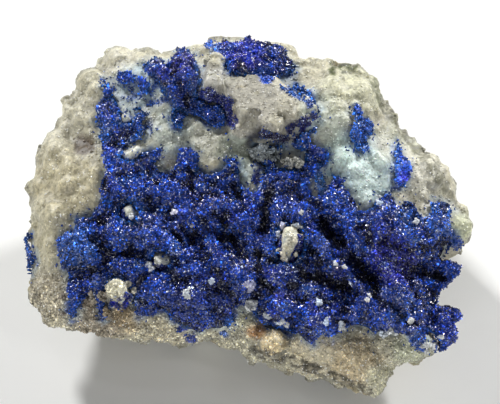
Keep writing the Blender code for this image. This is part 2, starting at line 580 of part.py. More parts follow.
def keep_largest(made):
    """Removes every body of an object but the largest one."""
    shell = bmesh.new()
    shell.from_mesh(made.data)
    unseen = set(shell.verts)
    bodies = []
    while unseen:
        body, front = set(), [unseen.pop()]
        while front:
            vert = front.pop()
            body.add(vert)
            for edge in vert.link_edges:
                other = edge.other_vert(vert)
                if other in unseen:
                    unseen.discard(other)
                    front.append(other)
        bodies.append(body)
    largest = max(bodies, key=len)
    rest = [vert for vert in shell.verts if vert not in largest]
    bmesh.ops.delete(shell, geom=rest, context="VERTS")
    shell.to_mesh(made.data)
    shell.free()


def swollen_copy(rock):
    """A guide in the rock's shape, larger by the gap that the crusts keep to it."""
    guide = bpy.data.objects.new("rock_clearance", rock.data.copy())
    bpy.context.scene.collection.objects.link(guide)
    shift = [vert.normal * CRUST_GAP * MM for vert in rock.data.vertices]
    for vert, move in zip(guide.data.vertices, shift):
        vert.co += move
    guide.hide_render = True
    guide.display_type = "WIRE"
    return guide


def centre_on_origin(pieces):
    """Moves every piece so that the middle of their common box's base is the origin."""
    corners = [vert.co for piece in pieces for vert in piece.data.vertices]
    low = [min(corner[axis] for corner in corners) for axis in range(3)]
    high = [max(corner[axis] for corner in corners) for axis in range(3)]
    shift = Vector((-(low[0] + high[0]) / 2, -(low[1] + high[1]) / 2, -low[2]))
    for piece in pieces:
        piece.data.transform(Matrix.Translation(shift))


def main():
    """Builds the rock and then each crust on it."""
    clear_scene()
    noise.seed_set(NOISE_SEED)
    rock = build_rock()
    guide = swollen_copy(rock)
    blue = finish_of("linarite", (0.02, 0.04, 0.30), 0.35)
    crusts = [
        build_crust(name, outline, guide, blue) for name, outline in all_crusts().items()
    ]
    centre_on_origin([rock, *crusts])


main()
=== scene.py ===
"""Dresses the linarite specimen: drusy quartz on broken rock, and blue linarite crusts.

Sizes are in millimetres unless a name says otherwise. The showing face has its own
frame: u to the right, v up the face and w straight out of it.
"""

import logging
import math
from dataclasses import dataclass, field
from enum import Enum

import bmesh
import bpy
import numpy as np
from mathutils import Matrix, Vector
from mathutils.bvhtree import BVHTree
from mathutils.kdtree import KDTree


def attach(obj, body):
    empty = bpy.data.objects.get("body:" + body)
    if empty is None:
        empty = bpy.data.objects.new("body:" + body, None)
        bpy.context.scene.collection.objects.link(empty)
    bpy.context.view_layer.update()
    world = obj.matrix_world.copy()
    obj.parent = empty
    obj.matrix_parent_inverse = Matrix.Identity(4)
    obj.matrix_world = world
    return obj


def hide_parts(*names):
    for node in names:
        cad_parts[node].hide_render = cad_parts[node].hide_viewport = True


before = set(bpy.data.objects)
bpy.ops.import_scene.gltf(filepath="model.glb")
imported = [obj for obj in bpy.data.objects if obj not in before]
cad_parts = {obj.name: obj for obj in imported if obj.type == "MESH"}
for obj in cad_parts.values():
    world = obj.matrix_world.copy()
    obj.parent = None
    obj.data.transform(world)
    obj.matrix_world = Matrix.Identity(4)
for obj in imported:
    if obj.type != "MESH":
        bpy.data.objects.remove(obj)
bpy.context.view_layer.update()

MM = 0.001
FACE_ELEVATION = math.radians(60.0)
FACE_ORIGIN = np.array([0.349, 2.293, 15.5])
FACE_U = np.array([1.0, 0.0, 0.0])
FACE_V = np.array([0.0, math.sin(FACE_ELEVATION), math.cos(FACE_ELEVATION)])
FACE_W = np.array([0.0, -math.cos(FACE_ELEVATION), math.sin(FACE_ELEVATION)])
SOLIDS_TOP = max(
    point.co.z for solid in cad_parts.values() for point in solid.data.vertices
) / MM
EASED_BELOW_TOP = 0.3
EASED_OVER = 0.6
EYE_AWAY = 40.0
OWN_SHARE = 0.4
# Painted highlight: how much lighter than its tone a crystal is painted at its tip.
TIP_PAINTED_LIGHT = 1.12
NODULE_SPREAD = 0.38
NODULE_RANGE = (0.45, 2.1)

LOG = logging.getLogger("linarite_specimen")


def linear(hex_colour: str) -> np.ndarray:
    """Turns an sRGB colour into a linear one.

    Args:
        hex_colour: The sRGB colour, such as "#1C2A7A".

    Returns:
        Red, green and blue from 0 to 1.
    """
    parts = np.array([int(hex_colour[i : i + 2], 16) for i in (1, 3, 5)]) / 255.0
    return np.where(parts <= 0.04045, parts / 12.92, ((parts + 0.055) / 1.055) ** 2.4)


def smooth_step(low: float, high: float, value: np.ndarray) -> np.ndarray:
    """Eases from 0 to 1 on an even curve.

    Args:
        low: The value up to which the result is 0.
        high: The value from which the result is 1.
        value: What is eased.

    Returns:
        A share from 0 to 1 for each value.
    """
    t = np.clip((value - low) / (high - low), 0.0, 1.0)
    return t * t * (3.0 - 2.0 * t)


def face_coordinates(places: np.ndarray) -> np.ndarray:
    """Turns places in the scene into places on the face.

    Args:
        places: Places in millimetres, one row each.

    Returns:
        Their u, v and w, one row each.
    """
    offset = places - FACE_ORIGIN
    return np.stack([offset @ FACE_U, offset @ FACE_V, offset @ FACE_W], axis=1)


def cell_randoms(cells: np.ndarray, salt: int, count: int) -> np.ndarray:
    """Random numbers that belong to cells of a lattice.

    Args:
        cells: Whole-number places of the cells, one row each.
        salt: Keeps patterns with different salts unlike each other.
        count: How many numbers each cell gets.

    Returns:
        One row of numbers from 0 to 1 for each cell.
    """
    mixed = cells.astype(np.int64).astype(np.uint64)
    value = mixed[:, 0] * np.uint64(73856093) ^ mixed[:, 1] * np.uint64(19349663)
    value ^= mixed[:, 2] * np.uint64(83492791) ^ np.uint64(salt * 2654435761 + 97)
    numbers = []
    for _ in range(count):
        value ^= value >> np.uint64(33)
        value *= np.uint64(0xFF51AFD7ED558CCD)
        value ^= value >> np.uint64(29)
        numbers.append((value >> np.uint64(11)).astype(np.float64) / float(1 << 53))
    return np.stack(numbers, axis=1)


def smooth_noise(places: np.ndarray, size: float, salt: int) -> np.ndarray:
    """Makes soft noise.

    Args:
        places: Places in millimetres.
        size: The distance over which it changes.
        salt: Keeps patterns with different salts unlike each other.

    Returns:
        A value from -1 to 1 for each place.
    """
    at = places / size
    low = np.floor(at)
    share = at - low
    share = share * share * (3.0 - 2.0 * share)
    total = np.zeros(len(places))
    for corner in np.ndindex(2, 2, 2):
        step = np.array(corner)
        weight = np.prod(np.where(step == 1, share, 1.0 - share), axis=1)
        total += weight * cell_randoms(low + step, salt, 1)[:, 0]
    return total * 2.0 - 1.0


def layered_noise(places: np.ndarray, size: float, salt: int, layers: int) -> np.ndarray:
    """Makes soft noise with finer and weaker layers on it.

    Args:
        places: Places in millimetres.
        size: The distance over which the coarsest layer changes.
        salt: Keeps patterns with different salts unlike each other.
        layers: How many layers there are.

    Returns:
        A value of about -1 to 1 for each place.
    """
    total = np.zeros(len(places))
    for layer in range(layers):
        total += smooth_noise(places, size / 2.1**layer, salt + layer) / 1.8**layer
    return total / 1.6


@dataclass(frozen=True)
class Cells:
    """The nearest cell points of a set of places.

    Attributes:
        near: Distance to the nearest cell point, as a share of the cell size.
        second: Distance to the second nearest, likewise.
        randoms: Four numbers from 0 to 1 that belong to the nearest cell.
        offset: The way from the nearest cell point to the place, in millimetres.
    """

    near: np.ndarray
    second: np.ndarray
    randoms: np.ndarray
    offset: np.ndarray


def cells_at(places: np.ndarray, size: float, salt: int) -> Cells:
    """Finds the nearest points of a scattered cell pattern.

    Args:
        places: Places in millimetres.
        size: Width of a cell.
        salt: Keeps patterns with different salts unlike each other.

    Returns:
        What is nearest at each place.
    """
    at = places / size
    home = np.floor(at)
    near = np.full(len(at), 9.0)
    second = np.full(len(at), 9.0)
    cell = home.copy()
    offset = np.zeros_like(at)
    for step in np.ndindex(3, 3, 3):
        other = home + np.array(step) - 1.0
        away = at - other - cell_randoms(other, salt, 3)
        distance = np.sqrt((away * away).sum(axis=1))
        closer = distance < near
        second = np.where(closer, near, np.minimum(second, distance))
        near = np.where(closer, distance, near)
        cell[closer] = other[closer]
        offset[closer] = away[closer]
    return Cells(near, second, cell_randoms(cell, salt + 5, 4), offset * size)


def lumps(places: np.ndarray, size: float, salt: int) -> np.ndarray:
    """Works out the height of round lumps with creases between them.

    Args:
        places: Places in millimetres.
        size: Width of a lump.
        salt: Keeps patterns with different salts unlike each other.

    Returns:
        A height from 0 to 1 for each place.
    """
    found = cells_at(places, size, salt)
    own = 0.55 + 0.45 * found.randoms[:, 0]
    return np.clip(1.0 - found.near**2 * 1.3, 0.0, 1.0) * own


class Shape:
    """A triangle mesh held as arrays, in millimetres.

    Attributes:
        places: One row for each corner point.
        faces: One row of three point numbers for each triangle.
    """

    def __init__(self, places: np.ndarray, faces: np.ndarray) -> None:
        """Keeps the arrays.

        Args:
            places: One row for each corner point, in millimetres.
            faces: One row of three point numbers for each triangle.
        """
        self.places = places
        self.faces = faces

    @classmethod
    def from_mesh(cls, mesh: bpy.types.Mesh) -> "Shape":
        """Reads a mesh, with its faces split into triangles.

        Args:
            mesh: A mesh of Blender's, in metres.

        Returns:
            The shape, in millimetres.
        """
        places = np.empty(len(mesh.vertices) * 3)
        mesh.vertices.foreach_get("co", places)
        mesh.calc_loop_triangles()
        faces = np.empty(len(mesh.loop_triangles) * 3, dtype=np.int64)
        mesh.loop_triangles.foreach_get("vertices", faces)
        return cls(places.reshape(-1, 3) / MM, faces.reshape(-1, 3))

    def fill(self, mesh: bpy.types.Mesh) -> None:
        """Writes the shape into a mesh in place of what it held.

        Args:
            mesh: The mesh that is written over.
        """
        mesh.clear_geometry()
        mesh.vertices.add(len(self.places))
        mesh.vertices.foreach_set("co", (self.places * MM).ravel())
        mesh.loops.add(len(self.faces) * 3)
        mesh.loops.foreach_set("vertex_index", self.faces.ravel())
        mesh.polygons.add(len(self.faces))
        mesh.polygons.foreach_set("loop_start", np.arange(len(self.faces)) * 3)
        mesh.update(calc_edges=True)

    def face_normals(self) -> tuple[np.ndarray, np.ndarray]:
        """Works out the triangles' directions and sizes.

        Returns:
            Each triangle's unit normal, and its area.
        """
        a, b, c = (self.places[self.faces[:, i]] for i in range(3))
        cross = np.cross(b - a, c - a)
        size = np.linalg.norm(cross, axis=1)
        return cross / np.maximum(size, 1e-12)[:, None], size / 2.0

    def normals(self) -> np.ndarray:
        """Works out the points' directions from the triangles round them.

        Returns:
            A unit normal for each point.
        """
        a, b, c = (self.places[self.faces[:, i]] for i in range(3))
        cross = np.cross(b - a, c - a)
        total = np.zeros_like(self.places)
        for i in range(3):
            for axis in range(3):
                total[:, axis] += np.bincount(
                    self.faces[:, i], cross[:, axis], minlength=len(total)
                )
        return total / np.maximum(np.linalg.norm(total, axis=1), 1e-12)[:, None]

    def relaxed(self, values: np.ndarray, rounds: int) -> np.ndarray:
        """Averages the values at the points with those of their neighbours.

        Args:
            values: One value for each point.
            rounds: How many times they are averaged.

        Returns:
            The smoother values.
        """
        edges = np.concatenate([self.faces[:, [0, 1]], self.faces[:, [1, 2]]])
        edges = np.concatenate([edges, self.faces[:, [2, 0]]])
        count = np.bincount(edges[:, 0], minlength=len(values))
        count = np.maximum(count + np.bincount(edges[:, 1], minlength=len(values)), 1)
        for _ in range(rounds):
            total = np.bincount(edges[:, 0], values[edges[:, 1]], minlength=len(values))
            total += np.bincount(edges[:, 1], values[edges[:, 0]], minlength=len(values))
            values = OWN_SHARE * values + (1.0 - OWN_SHARE) * total / count
        return values


def add_node(
    tree: bpy.types.NodeTree,
    kind: str,
    settings: dict[str, object] | None = None,
    links: dict[str | int, bpy.types.NodeSocket] | None = None,
) -> bpy.types.Node:
    """Adds a node to a tree with its settings and links.

    Args:
        tree: The tree that gets the node.
        kind: Blender's name for the node's type.
        settings: Values by the name of an input, or of a property of the node.
        links: Output sockets of other nodes, by the name or number of the input.

    Returns:
        The new node.
    """
    node = tree.nodes.new(kind)
    for name, value in (settings or {}).items():
        if name in node.inputs:
            node.inputs[name].default_value = value
        else:
            setattr(node, name, value)
    for name, socket in (links or {}).items():
        tree.links.new(socket, node.inputs[name])
    return node


def faceted(
    tree: bpy.types.NodeTree, cells: bpy.types.Node, tilt: float
) -> bpy.types.NodeSocket:
    """Turns the surface's normal another way in each cell, as small flat faces do.

    Args:
        tree: The tree that gets the nodes.
        cells: A Voronoi texture, whose colour is random for each cell.
        tilt: How far the faces lean.

    Returns:
        The normal's socket.
    """
    middle = add_node(
        tree, "ShaderNodeVectorMath", {"operation": "SUBTRACT"}, {0: cells.outputs["Color"]}
    )
    middle.inputs[1].default_value = (0.5, 0.5, 0.5)
    lean = add_node(
        tree,
        "ShaderNodeVectorMath",
        {"operation": "SCALE", "Scale": tilt},
        {0: middle.outputs["Vector"]},
    )
    surface = add_node(tree, "ShaderNodeNewGeometry").outputs["Normal"]
    both = add_node(
        tree, "ShaderNodeVectorMath", {"operation": "ADD"}, {0: surface, 1: lean.outputs["Vector"]}
    )
    whole = add_node(
        tree, "ShaderNodeVectorMath", {"operation": "NORMALIZE"}, {0: both.outputs["Vector"]}
    )
    return whole.outputs["Vector"]


def new_material(name: str) -> tuple[bpy.types.Material, bpy.types.NodeTree]:
    """Makes a material.

    Args:
        name: The material's name.

    Returns:
        The material, and its node tree, which is empty.
    """
    material = bpy.data.materials.new(name)
    material.use_nodes = True
    material.node_tree.nodes.clear()
    return material, material.node_tree


def point_tone(tree: bpy.types.NodeTree) -> bpy.types.NodeSocket:
    """Adds the node that reads the colour given to each point of a mesh."""
    return add_node(tree, "ShaderNodeAttribute", {"attribute_name": "tone"}).outputs["Color"]


def grown_cells(tree: bpy.types.NodeTree, width: float) -> bpy.types.Node:
    """Adds a pattern of cells that stand for single crystals.

    Args:
        tree: The tree that gets the nodes.
        width: Width of a cell in millimetres.

    Returns:
        The pattern's node.
    """
    place = add_node(tree, "ShaderNodeTexCoord").outputs["Object"]
    return add_node(
        tree, "ShaderNodeTexVoronoi", {"Scale": 1.0 / (width * MM)}, {"Vector": place}
    )


def spread_over(
    tree: bpy.types.NodeTree,
    value: bpy.types.NodeSocket,
    given: tuple[float, float],
    wanted: tuple[float, float],
) -> bpy.types.NodeSocket:
    """Stretches a value's range to another one.

    Args:
        tree: The tree that gets the node.
        value: What is stretched.
        given: The least and most of the value that count.
        wanted: What they become.

    Returns:
        The stretched value's socket.
    """
    ends = {"From Min": given[0], "From Max": given[1], "To Min": wanted[0], "To Max": wanted[1]}
    return add_node(tree, "ShaderNodeMapRange", ends, {"Value": value}).outputs["Result"]


def shaded(
    tree: bpy.types.NodeTree, colour: bpy.types.NodeSocket, shade: bpy.types.NodeSocket
) -> bpy.types.NodeSocket:
    """Makes a colour lighter or darker.

    Args:
        tree: The tree that gets the node.
        colour: The colour.
        shade: What it is multiplied by.

    Returns:
        The new colour's socket.
    """
    scaled = add_node(
        tree, "ShaderNodeVectorMath", {"operation": "SCALE"}, {0: colour, "Scale": shade}
    )
    return scaled.outputs["Vector"]


def finish_with(
    tree: bpy.types.NodeTree,
    settings: dict[str, object],
    links: dict[str | int, bpy.types.NodeSocket] | None = None,
) -> None:
    """Adds the surface's shader and the output.

    Args:
        tree: The tree that gets the nodes.
        settings: The shader's constant values.
        links: What drives its other inputs.
    """
    surface = add_node(tree, "ShaderNodeBsdfPrincipled", settings, links)
    add_node(tree, "ShaderNodeOutputMaterial", {}, {"Surface": surface.outputs["BSDF"]})


@dataclass(frozen=True)
class DrusyQuartz:
    """Quartz grown as a sugary coat of grains.

    Each grain is clear but clouded, so light spreads in it and it looks soft and
    whitish. Its flat faces are smooth, which gives the white sparkle.

    Attributes:
        name: Of the material.
        ior: Of quartz.
        roughness: Of a grown face with a little dust on it.
        glow: Share of the light that spreads inside a grain.
        depth: How far that light goes.
        grain: Width of a grain. The real ones go down to 0.2 mm, and are drawn as coarse
            as the picture can show.
        cloud: Width of a cloudy place.
        sugar: Height of the sugary relief that is too fine for the mesh.
        shades: How dark and how light single grains are.
        clouding: How dark and how light cloudy places are.
    """

    name: str = "drusy_quartz"
    ior: float = 1.544
    roughness: float = 0.5
    glow: float = 0.8
    depth: float = 0.9
    grain: float = 0.32
    cloud: float = 1.28
    sugar: float = 0.018
    shades: tuple[float, float] = (0.62, 1.28)
    clouding: tuple[float, float] = (0.88, 1.1)

    def build(self) -> bpy.types.Material:
        """Makes the material: its tone comes from the points, and grains vary it.

        Returns:
            The material.
        """
        material, tree = new_material(self.name)
        grains = grown_cells(tree, self.grain)
        cloud = add_node(
            tree,
            "ShaderNodeTexNoise",
            {"Scale": 1.0 / (self.cloud * MM), "Detail": 4.0},
            {"Vector": add_node(tree, "ShaderNodeTexCoord").outputs["Object"]},
        )
        shade = spread_over(tree, grains.outputs["Color"], (0.0, 1.0), self.shades)
        cloudy = spread_over(tree, cloud.outputs["Fac"], (0.3, 0.7), self.clouding)
        both = add_node(
            tree, "ShaderNodeMath", {"operation": "MULTIPLY"}, {0: shade, 1: cloudy}
        )
        relief = add_node(
            tree,
            "ShaderNodeBump",
            {"Strength": 1.0, "Distance": self.sugar * MM},
            {"Height": grains.outputs["Distance"]},
        )
        finish_with(
            tree,
            {
                "IOR": self.ior,
                "Roughness": self.roughness,
                "Subsurface Weight": self.glow,
                "Subsurface Radius": (1.0, 0.95, 0.8),
                "Subsurface Scale": self.depth * MM,
            },
            {
                "Base Color": shaded(tree, point_tone(tree), both.outputs["Value"]),
                "Normal": relief.outputs["Normal"],
            },
        )
        return material


@dataclass(frozen=True)
class LinariteDruse:
    """Linarite grown as a druse of blades.

    The crystals are deep blue and have a bright, almost glassy lustre: thin edges
    look azure, thick ones ultramarine and the gaps between them nearly black.

    Attributes:
        name: Of the material.
        ior: Of linarite.
        roughness: Of a grown face.
        grain: Width of a blade.
        shades: How dark and how light single blades are.
        tilt: How far the blades' faces lean, which gives the glitter.
    """

    name: str = "linarite_druse"
    ior: float = 1.84
    roughness: float = 0.13
    grain: float = 0.24
    shades: tuple[float, float] = (0.3, 1.6)
    tilt: float = 1.2

    def build(self) -> bpy.types.Material:
        """Makes the material: its tone comes from the points, and blades vary it.

        Returns:
            The material.
        """
        material, tree = new_material(self.name)
        blades = grown_cells(tree, self.grain)
        shade = spread_over(tree, blades.outputs["Color"], (0.0, 1.0), self.shades)
        finish_with(
            tree,
            {"IOR": self.ior, "Roughness": self.roughness},
            {
                "Base Color": shaded(tree, point_tone(tree), shade),
                "Normal": faceted(tree, blades, self.tilt),
            },
        )
        return material


@dataclass(frozen=True)
class SweepPaper:
    """Matt white background paper: even, with no gloss.

    Attributes:
        name: Of the material.
        colour: Its sRGB colour.
        roughness: Of its fibres.
        gloss: What is left of its shine.
    """

    name: str = "sweep_paper"
    colour: str = "#F4F4F2"
    roughness: float = 0.9
    gloss: float = 0.1

    def build(self) -> bpy.types.Material:
        """Makes the material.

        Returns:
            The material.
        """
        material, tree = new_material(self.name)
        finish_with(
            tree,
            {
                "Base Color": (*linear(self.colour), 1.0),
                "Roughness": self.roughness,
                "Specular IOR Level": self.gloss,
            },
        )
        return material


class Habit(Enum):
    """The kinds of small crystal, each with its form and its colouring."""

    QUARTZ_GRAIN = "quartz grain"
    LINARITE_BLADE = "linarite blade"

    def slimness(self) -> tuple[float, float]:
        """Returns the least and most width, as a share of the length."""
        return (0.7, 1.0) if self is Habit.QUARTZ_GRAIN else (0.45, 0.85)

    def glint_share(self) -> float:
        """Returns how many of the crystals are painted pale, as painted glints."""
        return 0.015 if self is Habit.QUARTZ_GRAIN else 0.33

    def glint_colour(self) -> str:
        """Returns the sRGB colour that a painted glint turns to."""
        return "#FFFFFA" if self is Habit.QUARTZ_GRAIN else "#D2E0FF"

    def painted_foot_shade(self) -> float:
        """Returns how much of its tone a crystal keeps at its foot, where it is painted darker as
        painted shade.
        """
        return 0.88 if self is Habit.QUARTZ_GRAIN else 0.35

    def template(self) -> tuple[np.ndarray, np.ndarray]:
        """Makes one crystal that grows along +Z.

        Returns:
            Its points, in shares of its size, and its triangles.
        """
        if self is Habit.QUARTZ_GRAIN:
            ring = [
                (math.cos(math.pi * k / 2.0), math.sin(math.pi * k / 2.0), 0.0)
                for k in range(4)
            ]
            points = [*ring, (0.1, 0.05, 0.75), (0.0, 0.0, -1.0)]
            faces = [(k, (k + 1) % 4, 4) for k in range(4)]
            faces += [((k + 1) % 4, k, 5) for k in range(4)]
            return np.array(points), np.array(faces)
        base = [(-0.5, -0.5, -0.5), (0.5, -0.5, -0.5), (0.5, 0.5, -0.5), (-0.5, 0.5, -0.5)]
        top = [(-0.32, -0.4, 0.78), (0.5, -0.4, 1.0), (0.42, 0.4, 0.94), (-0.38, 0.4, 0.7)]
        faces = [(0, 2, 1), (0, 3, 2), (4, 5, 6), (4, 6, 7)]
        for k in range(4):
            j = (k + 1) % 4
            faces += [(k, j, 4 + j), (k, 4 + j, 4 + k)]
        return np.array(base + top), np.array(faces)


@dataclass
class Growth:
    """Where crystals stand and how they look: one row for each crystal.

    Attributes:
        roots: Places that they grow from.
        outward: The direction that each grows in.
        sizes: Width, thickness and length.
        tones: Linear colours.
    """

    roots: np.ndarray
    outward: np.ndarray
    sizes: np.ndarray
    tones: np.ndarray


def crystals(
    habit: Habit, growth: Growth, chance: np.random.Generator
) -> tuple[Shape, np.ndarray]:
    """Makes one shape of many crystals.

    Args:
        habit: Their form.
        growth: Where each stands, its direction, size and tone.
        chance: Where the random turns come from.

    Returns:
        The shape, and a linear colour for each of its points.
    """
    points, faces = habit.template()
    count = len(growth.roots)
    helper = chance.normal(size=(count, 3))
    side = np.cross(growth.outward, helper)
    side /= np.linalg.norm(side, axis=1)[:, None]
    third = np.cross(growth.outward, side)
    local = points[None, :, :] * growth.sizes[:, None, :]
    places = (
        growth.roots[:, None, :]
        + local[:, :, 0:1] * side[:, None, :]
        + local[:, :, 1:2] * third[:, None, :]
        + local[:, :, 2:3] * growth.outward[:, None, :]
    )
    numbers = faces[None, :, :] + (np.arange(count) * len(points))[:, None, None]
    # Painted light: each crystal is painted darker at its foot, as painted shade among its
    # neighbours, and lighter towards its tip.
    rise = points[:, 2] - points[:, 2].min()
    rise = habit.painted_foot_shade() + (TIP_PAINTED_LIGHT - habit.painted_foot_shade()) * rise / rise.max()
    tones = growth.tones[:, None, :] * rise[None, :, None]
    return Shape(places.reshape(-1, 3), numbers.reshape(-1, 3)), tones.reshape(-1, 3)


def scatter(
    shape: Shape, weight: np.ndarray, count: int, chance: np.random.Generator
) -> tuple[np.ndarray, np.ndarray, np.ndarray]:
    """Picks random places on a shape.

    Args:
        shape: What the places lie on.
        weight: How thickly they lie, one value for each point of the shape.
        count: How many places are wanted.
        chance: Where the random choices come from.

    Returns:
        The places, the triangle that each lies on, and each triangle point's share.
    """
    _, area = shape.face_normals()
    share = area * weight[shape.faces].mean(axis=1)
    ladder = np.cumsum(share)
    chosen = np.searchsorted(ladder, chance.random(count) * ladder[-1])
    chosen = np.minimum(chosen, len(share) - 1)
    a, b = chance.random(count), chance.random(count)
    flip = a + b > 1.0
    a[flip], b[flip] = 1.0 - a[flip], 1.0 - b[flip]
    shares = np.stack([1.0 - a - b, a, b], axis=1)
    corners = shape.places[shape.faces[chosen]]
    return (corners * shares[:, :, None]).sum(axis=1), chosen, shares


def add_piece(
    name: str, shape: Shape, tones: np.ndarray, material: bpy.types.Material
) -> bpy.types.Object:
    """Puts a shape into the scene as a piece of the specimen.

    Args:
        name: The piece's name.
        shape: Its form.
        tones: A linear colour for each of its points.
        material: Its finish.

    Returns:
        The new object.
    """
    mesh = bpy.data.meshes.new(name)
    shape.fill(mesh)
    tone = mesh.attributes.new("tone", "FLOAT_COLOR", "POINT")
    whole = np.concatenate([tones, np.ones((len(tones), 1))], axis=1)
    tone.data.foreach_set("color", whole.astype(np.float32).ravel())
    mesh.materials.append(material)
    piece = bpy.data.objects.new(name, mesh)
    bpy.context.scene.collection.objects.link(piece)
    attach(piece, "root")
    LOG.info("%s: %d triangles", name, len(shape.faces))
    return piece


@dataclass(frozen=True)
class Nodules:
    """Round nodules that stand half sunk in a surface.

    Attributes:
        centres: Their middles, in millimetres.
        radii: The radius of each.
    """

    centres: np.ndarray
    radii: np.ndarray

    def join_to(self, mesh: bpy.types.Mesh) -> None:
        """Adds the nodules to a mesh as closed balls, each a little out of round.

        Args:
            mesh: The mesh that they are added to.
        """
        ball = bmesh.new()
        bmesh.ops.create_icosphere(ball, subdivisions=2, radius=1.0)
        points = np.array([point.co for point in ball.verts])
        faces = np.array([[point.index for point in side.verts] for side in ball.faces])
        ball.free()
        uneven = 1.0 + 0.12 * layered_noise(points * 1.7 + 40.0, 1.0, 90, 2)
        points = points * uneven[:, None]
        old = Shape.from_mesh(mesh)
        every = self.centres[:, None, :] + points[None, :, :] * self.radii[:, None, None]
        shift = np.arange(len(self.centres))[:, None, None] * len(points) + len(old.places)
        Shape(
            np.concatenate([old.places, every.reshape(-1, 3)]),
            np.concatenate([old.faces, (faces[None] + shift).reshape(-1, 3)]),
        ).fill(mesh)


def working_mesh(node: str) -> bpy.types.Mesh:
    """Copies the mesh of a solid of the frame."""
    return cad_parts[node].data.copy()


def refined(mesh: bpy.types.Mesh, voxel: float, smoothing: int, nodules: Nodules) -> Shape:
    """Makes one mesh of small even faces from a mesh with nodules on it.

    Args:
        mesh: A mesh that is used up.
        voxel: Width of a face.
        smoothing: How many rounds take the edges off the solid's facets.
        nodules: What grows on it.

    Returns:
        The finer shape.
    """
    nodules.join_to(mesh)
    source = bpy.data.objects.new("working_copy", mesh)
    bpy.context.scene.collection.objects.link(source)
    remesh = source.modifiers.new("even faces", "REMESH")
    remesh.mode = "VOXEL"
    remesh.voxel_size = voxel * MM
    soften = source.modifiers.new("soften facets", "SMOOTH")
    soften.factor = 0.5
    soften.iterations = smoothing
    evaluated = source.evaluated_get(bpy.context.evaluated_depsgraph_get())
    finer = bpy.data.meshes.new_from_object(evaluated)
    shape = Shape.from_mesh(finer)
    bpy.data.objects.remove(source)
    bpy.data.meshes.remove(finer)
    bpy.data.meshes.remove(mesh)
    return shape


def lowered(places: np.ndarray) -> np.ndarray:
    """Eases down whatever would stand above the solids' own top.

    Args:
        places: Places in millimetres.

    Returns:
        The places, with the highest ones lower.
    """
    over = np.maximum(places[:, 2] - SOLIDS_TOP + EASED_BELOW_TOP, 0.0)
    lower = places.copy()
    lower[:, 2] += EASED_OVER * np.tanh(over / EASED_OVER) - over
    return lower


def ways_round() -> list[np.ndarray]:
    """Makes eight directions round about in the plane of the face.

    Returns:
        The unit directions.
    """
    turns = np.arange(8) * math.pi / 4.0
    return [math.cos(turn) * FACE_U + math.sin(turn) * FACE_V for turn in turns]


class Front:
    """Solids of the frame as the eye meets them from in front of the face."""

    def __init__(self, *nodes: str) -> None:
        """Gathers solids.

        Args:
            *nodes: The solids' names.
        """
        shapes = [Shape.from_mesh(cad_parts[node].data) for node in nodes]
        starts = np.cumsum([0] + [len(shape.places) for shape in shapes])
        places = np.concatenate([shape.places for shape in shapes])
        faces = np.concatenate([shape.faces + at for shape, at in zip(shapes, starts)])
        self.shape = Shape(places, faces)
        self.tree = BVHTree.FromPolygons(places.tolist(), faces.tolist())

    def meet(self, u: float, v: float) -> tuple[np.ndarray, np.ndarray]:
        """Finds what is seen at a place of the face.

        Args:
            u: To the right.
            v: Up the face.

        Returns:
            The place on the solids, and the way that it faces.
        """
        start = FACE_ORIGIN + u * FACE_U + v * FACE_V + EYE_AWAY * FACE_W
        place, normal, _, _ = self.tree.ray_cast(Vector(start), Vector(-FACE_W))
        if place is None:
            near_face = Vector(start - (EYE_AWAY + 2.0) * FACE_W)
            place, normal, _, _ = self.tree.find_nearest(near_face)
        return np.array(place), np.array(normal)

    def covers(self, places: np.ndarray) -> np.ndarray:
        """Tells which places lie behind these solids, seen from the front.

        Args:
            places: Places in millimetres.

        Returns:
            True for each place that is covered.
        """
        way = Vector(FACE_W)
        hits = [
            self.tree.ray_cast(Vector(place) + way * 0.02, way, 9.0)[0] is not None
            for place in places
        ]
        return np.array(hits)

    def spans(self, places: np.ndarray, reaches: np.ndarray) -> np.ndarray:
        """Tells round which places these solids go on for as far as their reach.

        Args:
            places: Places near the front of the solids.
            reaches: How far each is felt round, in the plane of the face.

        Returns:
            True where the solids are met on every side.
        """
        met = np.ones(len(places), dtype=bool)
        for way in ways_round():
            starts = places + reaches[:, None] * way + 6.0 * FACE_W
            for number, start in enumerate(starts):
                hit = self.tree.ray_cast(Vector(start), Vector(-FACE_W), 12.0)[0]
                met[number] &= hit is not None
        return met

    def drawn_in(self, places: np.ndarray, reaches: np.ndarray) -> np.ndarray:
        """Draws places in from the outline, so that what is round them stays inside it.

        Args:
            places: Places near the front of the solids.
            reaches: How far the outline is felt for, in the plane of the face.

        Returns:
            The places, moved in where the outline is nearer than their reach.
        """
        inward = np.zeros_like(places)
        for way in ways_round():
            starts = places + reaches[:, None] * way + 12.0 * FACE_W
            for number, start in enumerate(starts):
                if self.tree.ray_cast(Vector(start), Vector(-FACE_W), 60.0)[0] is None:
                    inward[number] -= way
        size = np.linalg.norm(inward, axis=1)
        near = size > 0.5
        moved = places.copy()
        moved[near] += inward[near] / size[near, None] * (0.8 * reaches[near])[:, None]
        return moved

    def distances(self, places: np.ndarray) -> np.ndarray:
        """Returns how far each place is from the nearest point of these solids."""
        return np.array([self.tree.find_nearest(Vector(place))[3] for place in places])


@dataclass(frozen=True)
class Knob:
    """One nodule that the photograph shows, by its place on the face.

    Attributes:
        u: To the right.
        v: Up the face.
        radius: Its radius.
        rise: How far its middle stands above the surface.
    """

    u: float
    v: float
    radius: float
    rise: float = 0.0


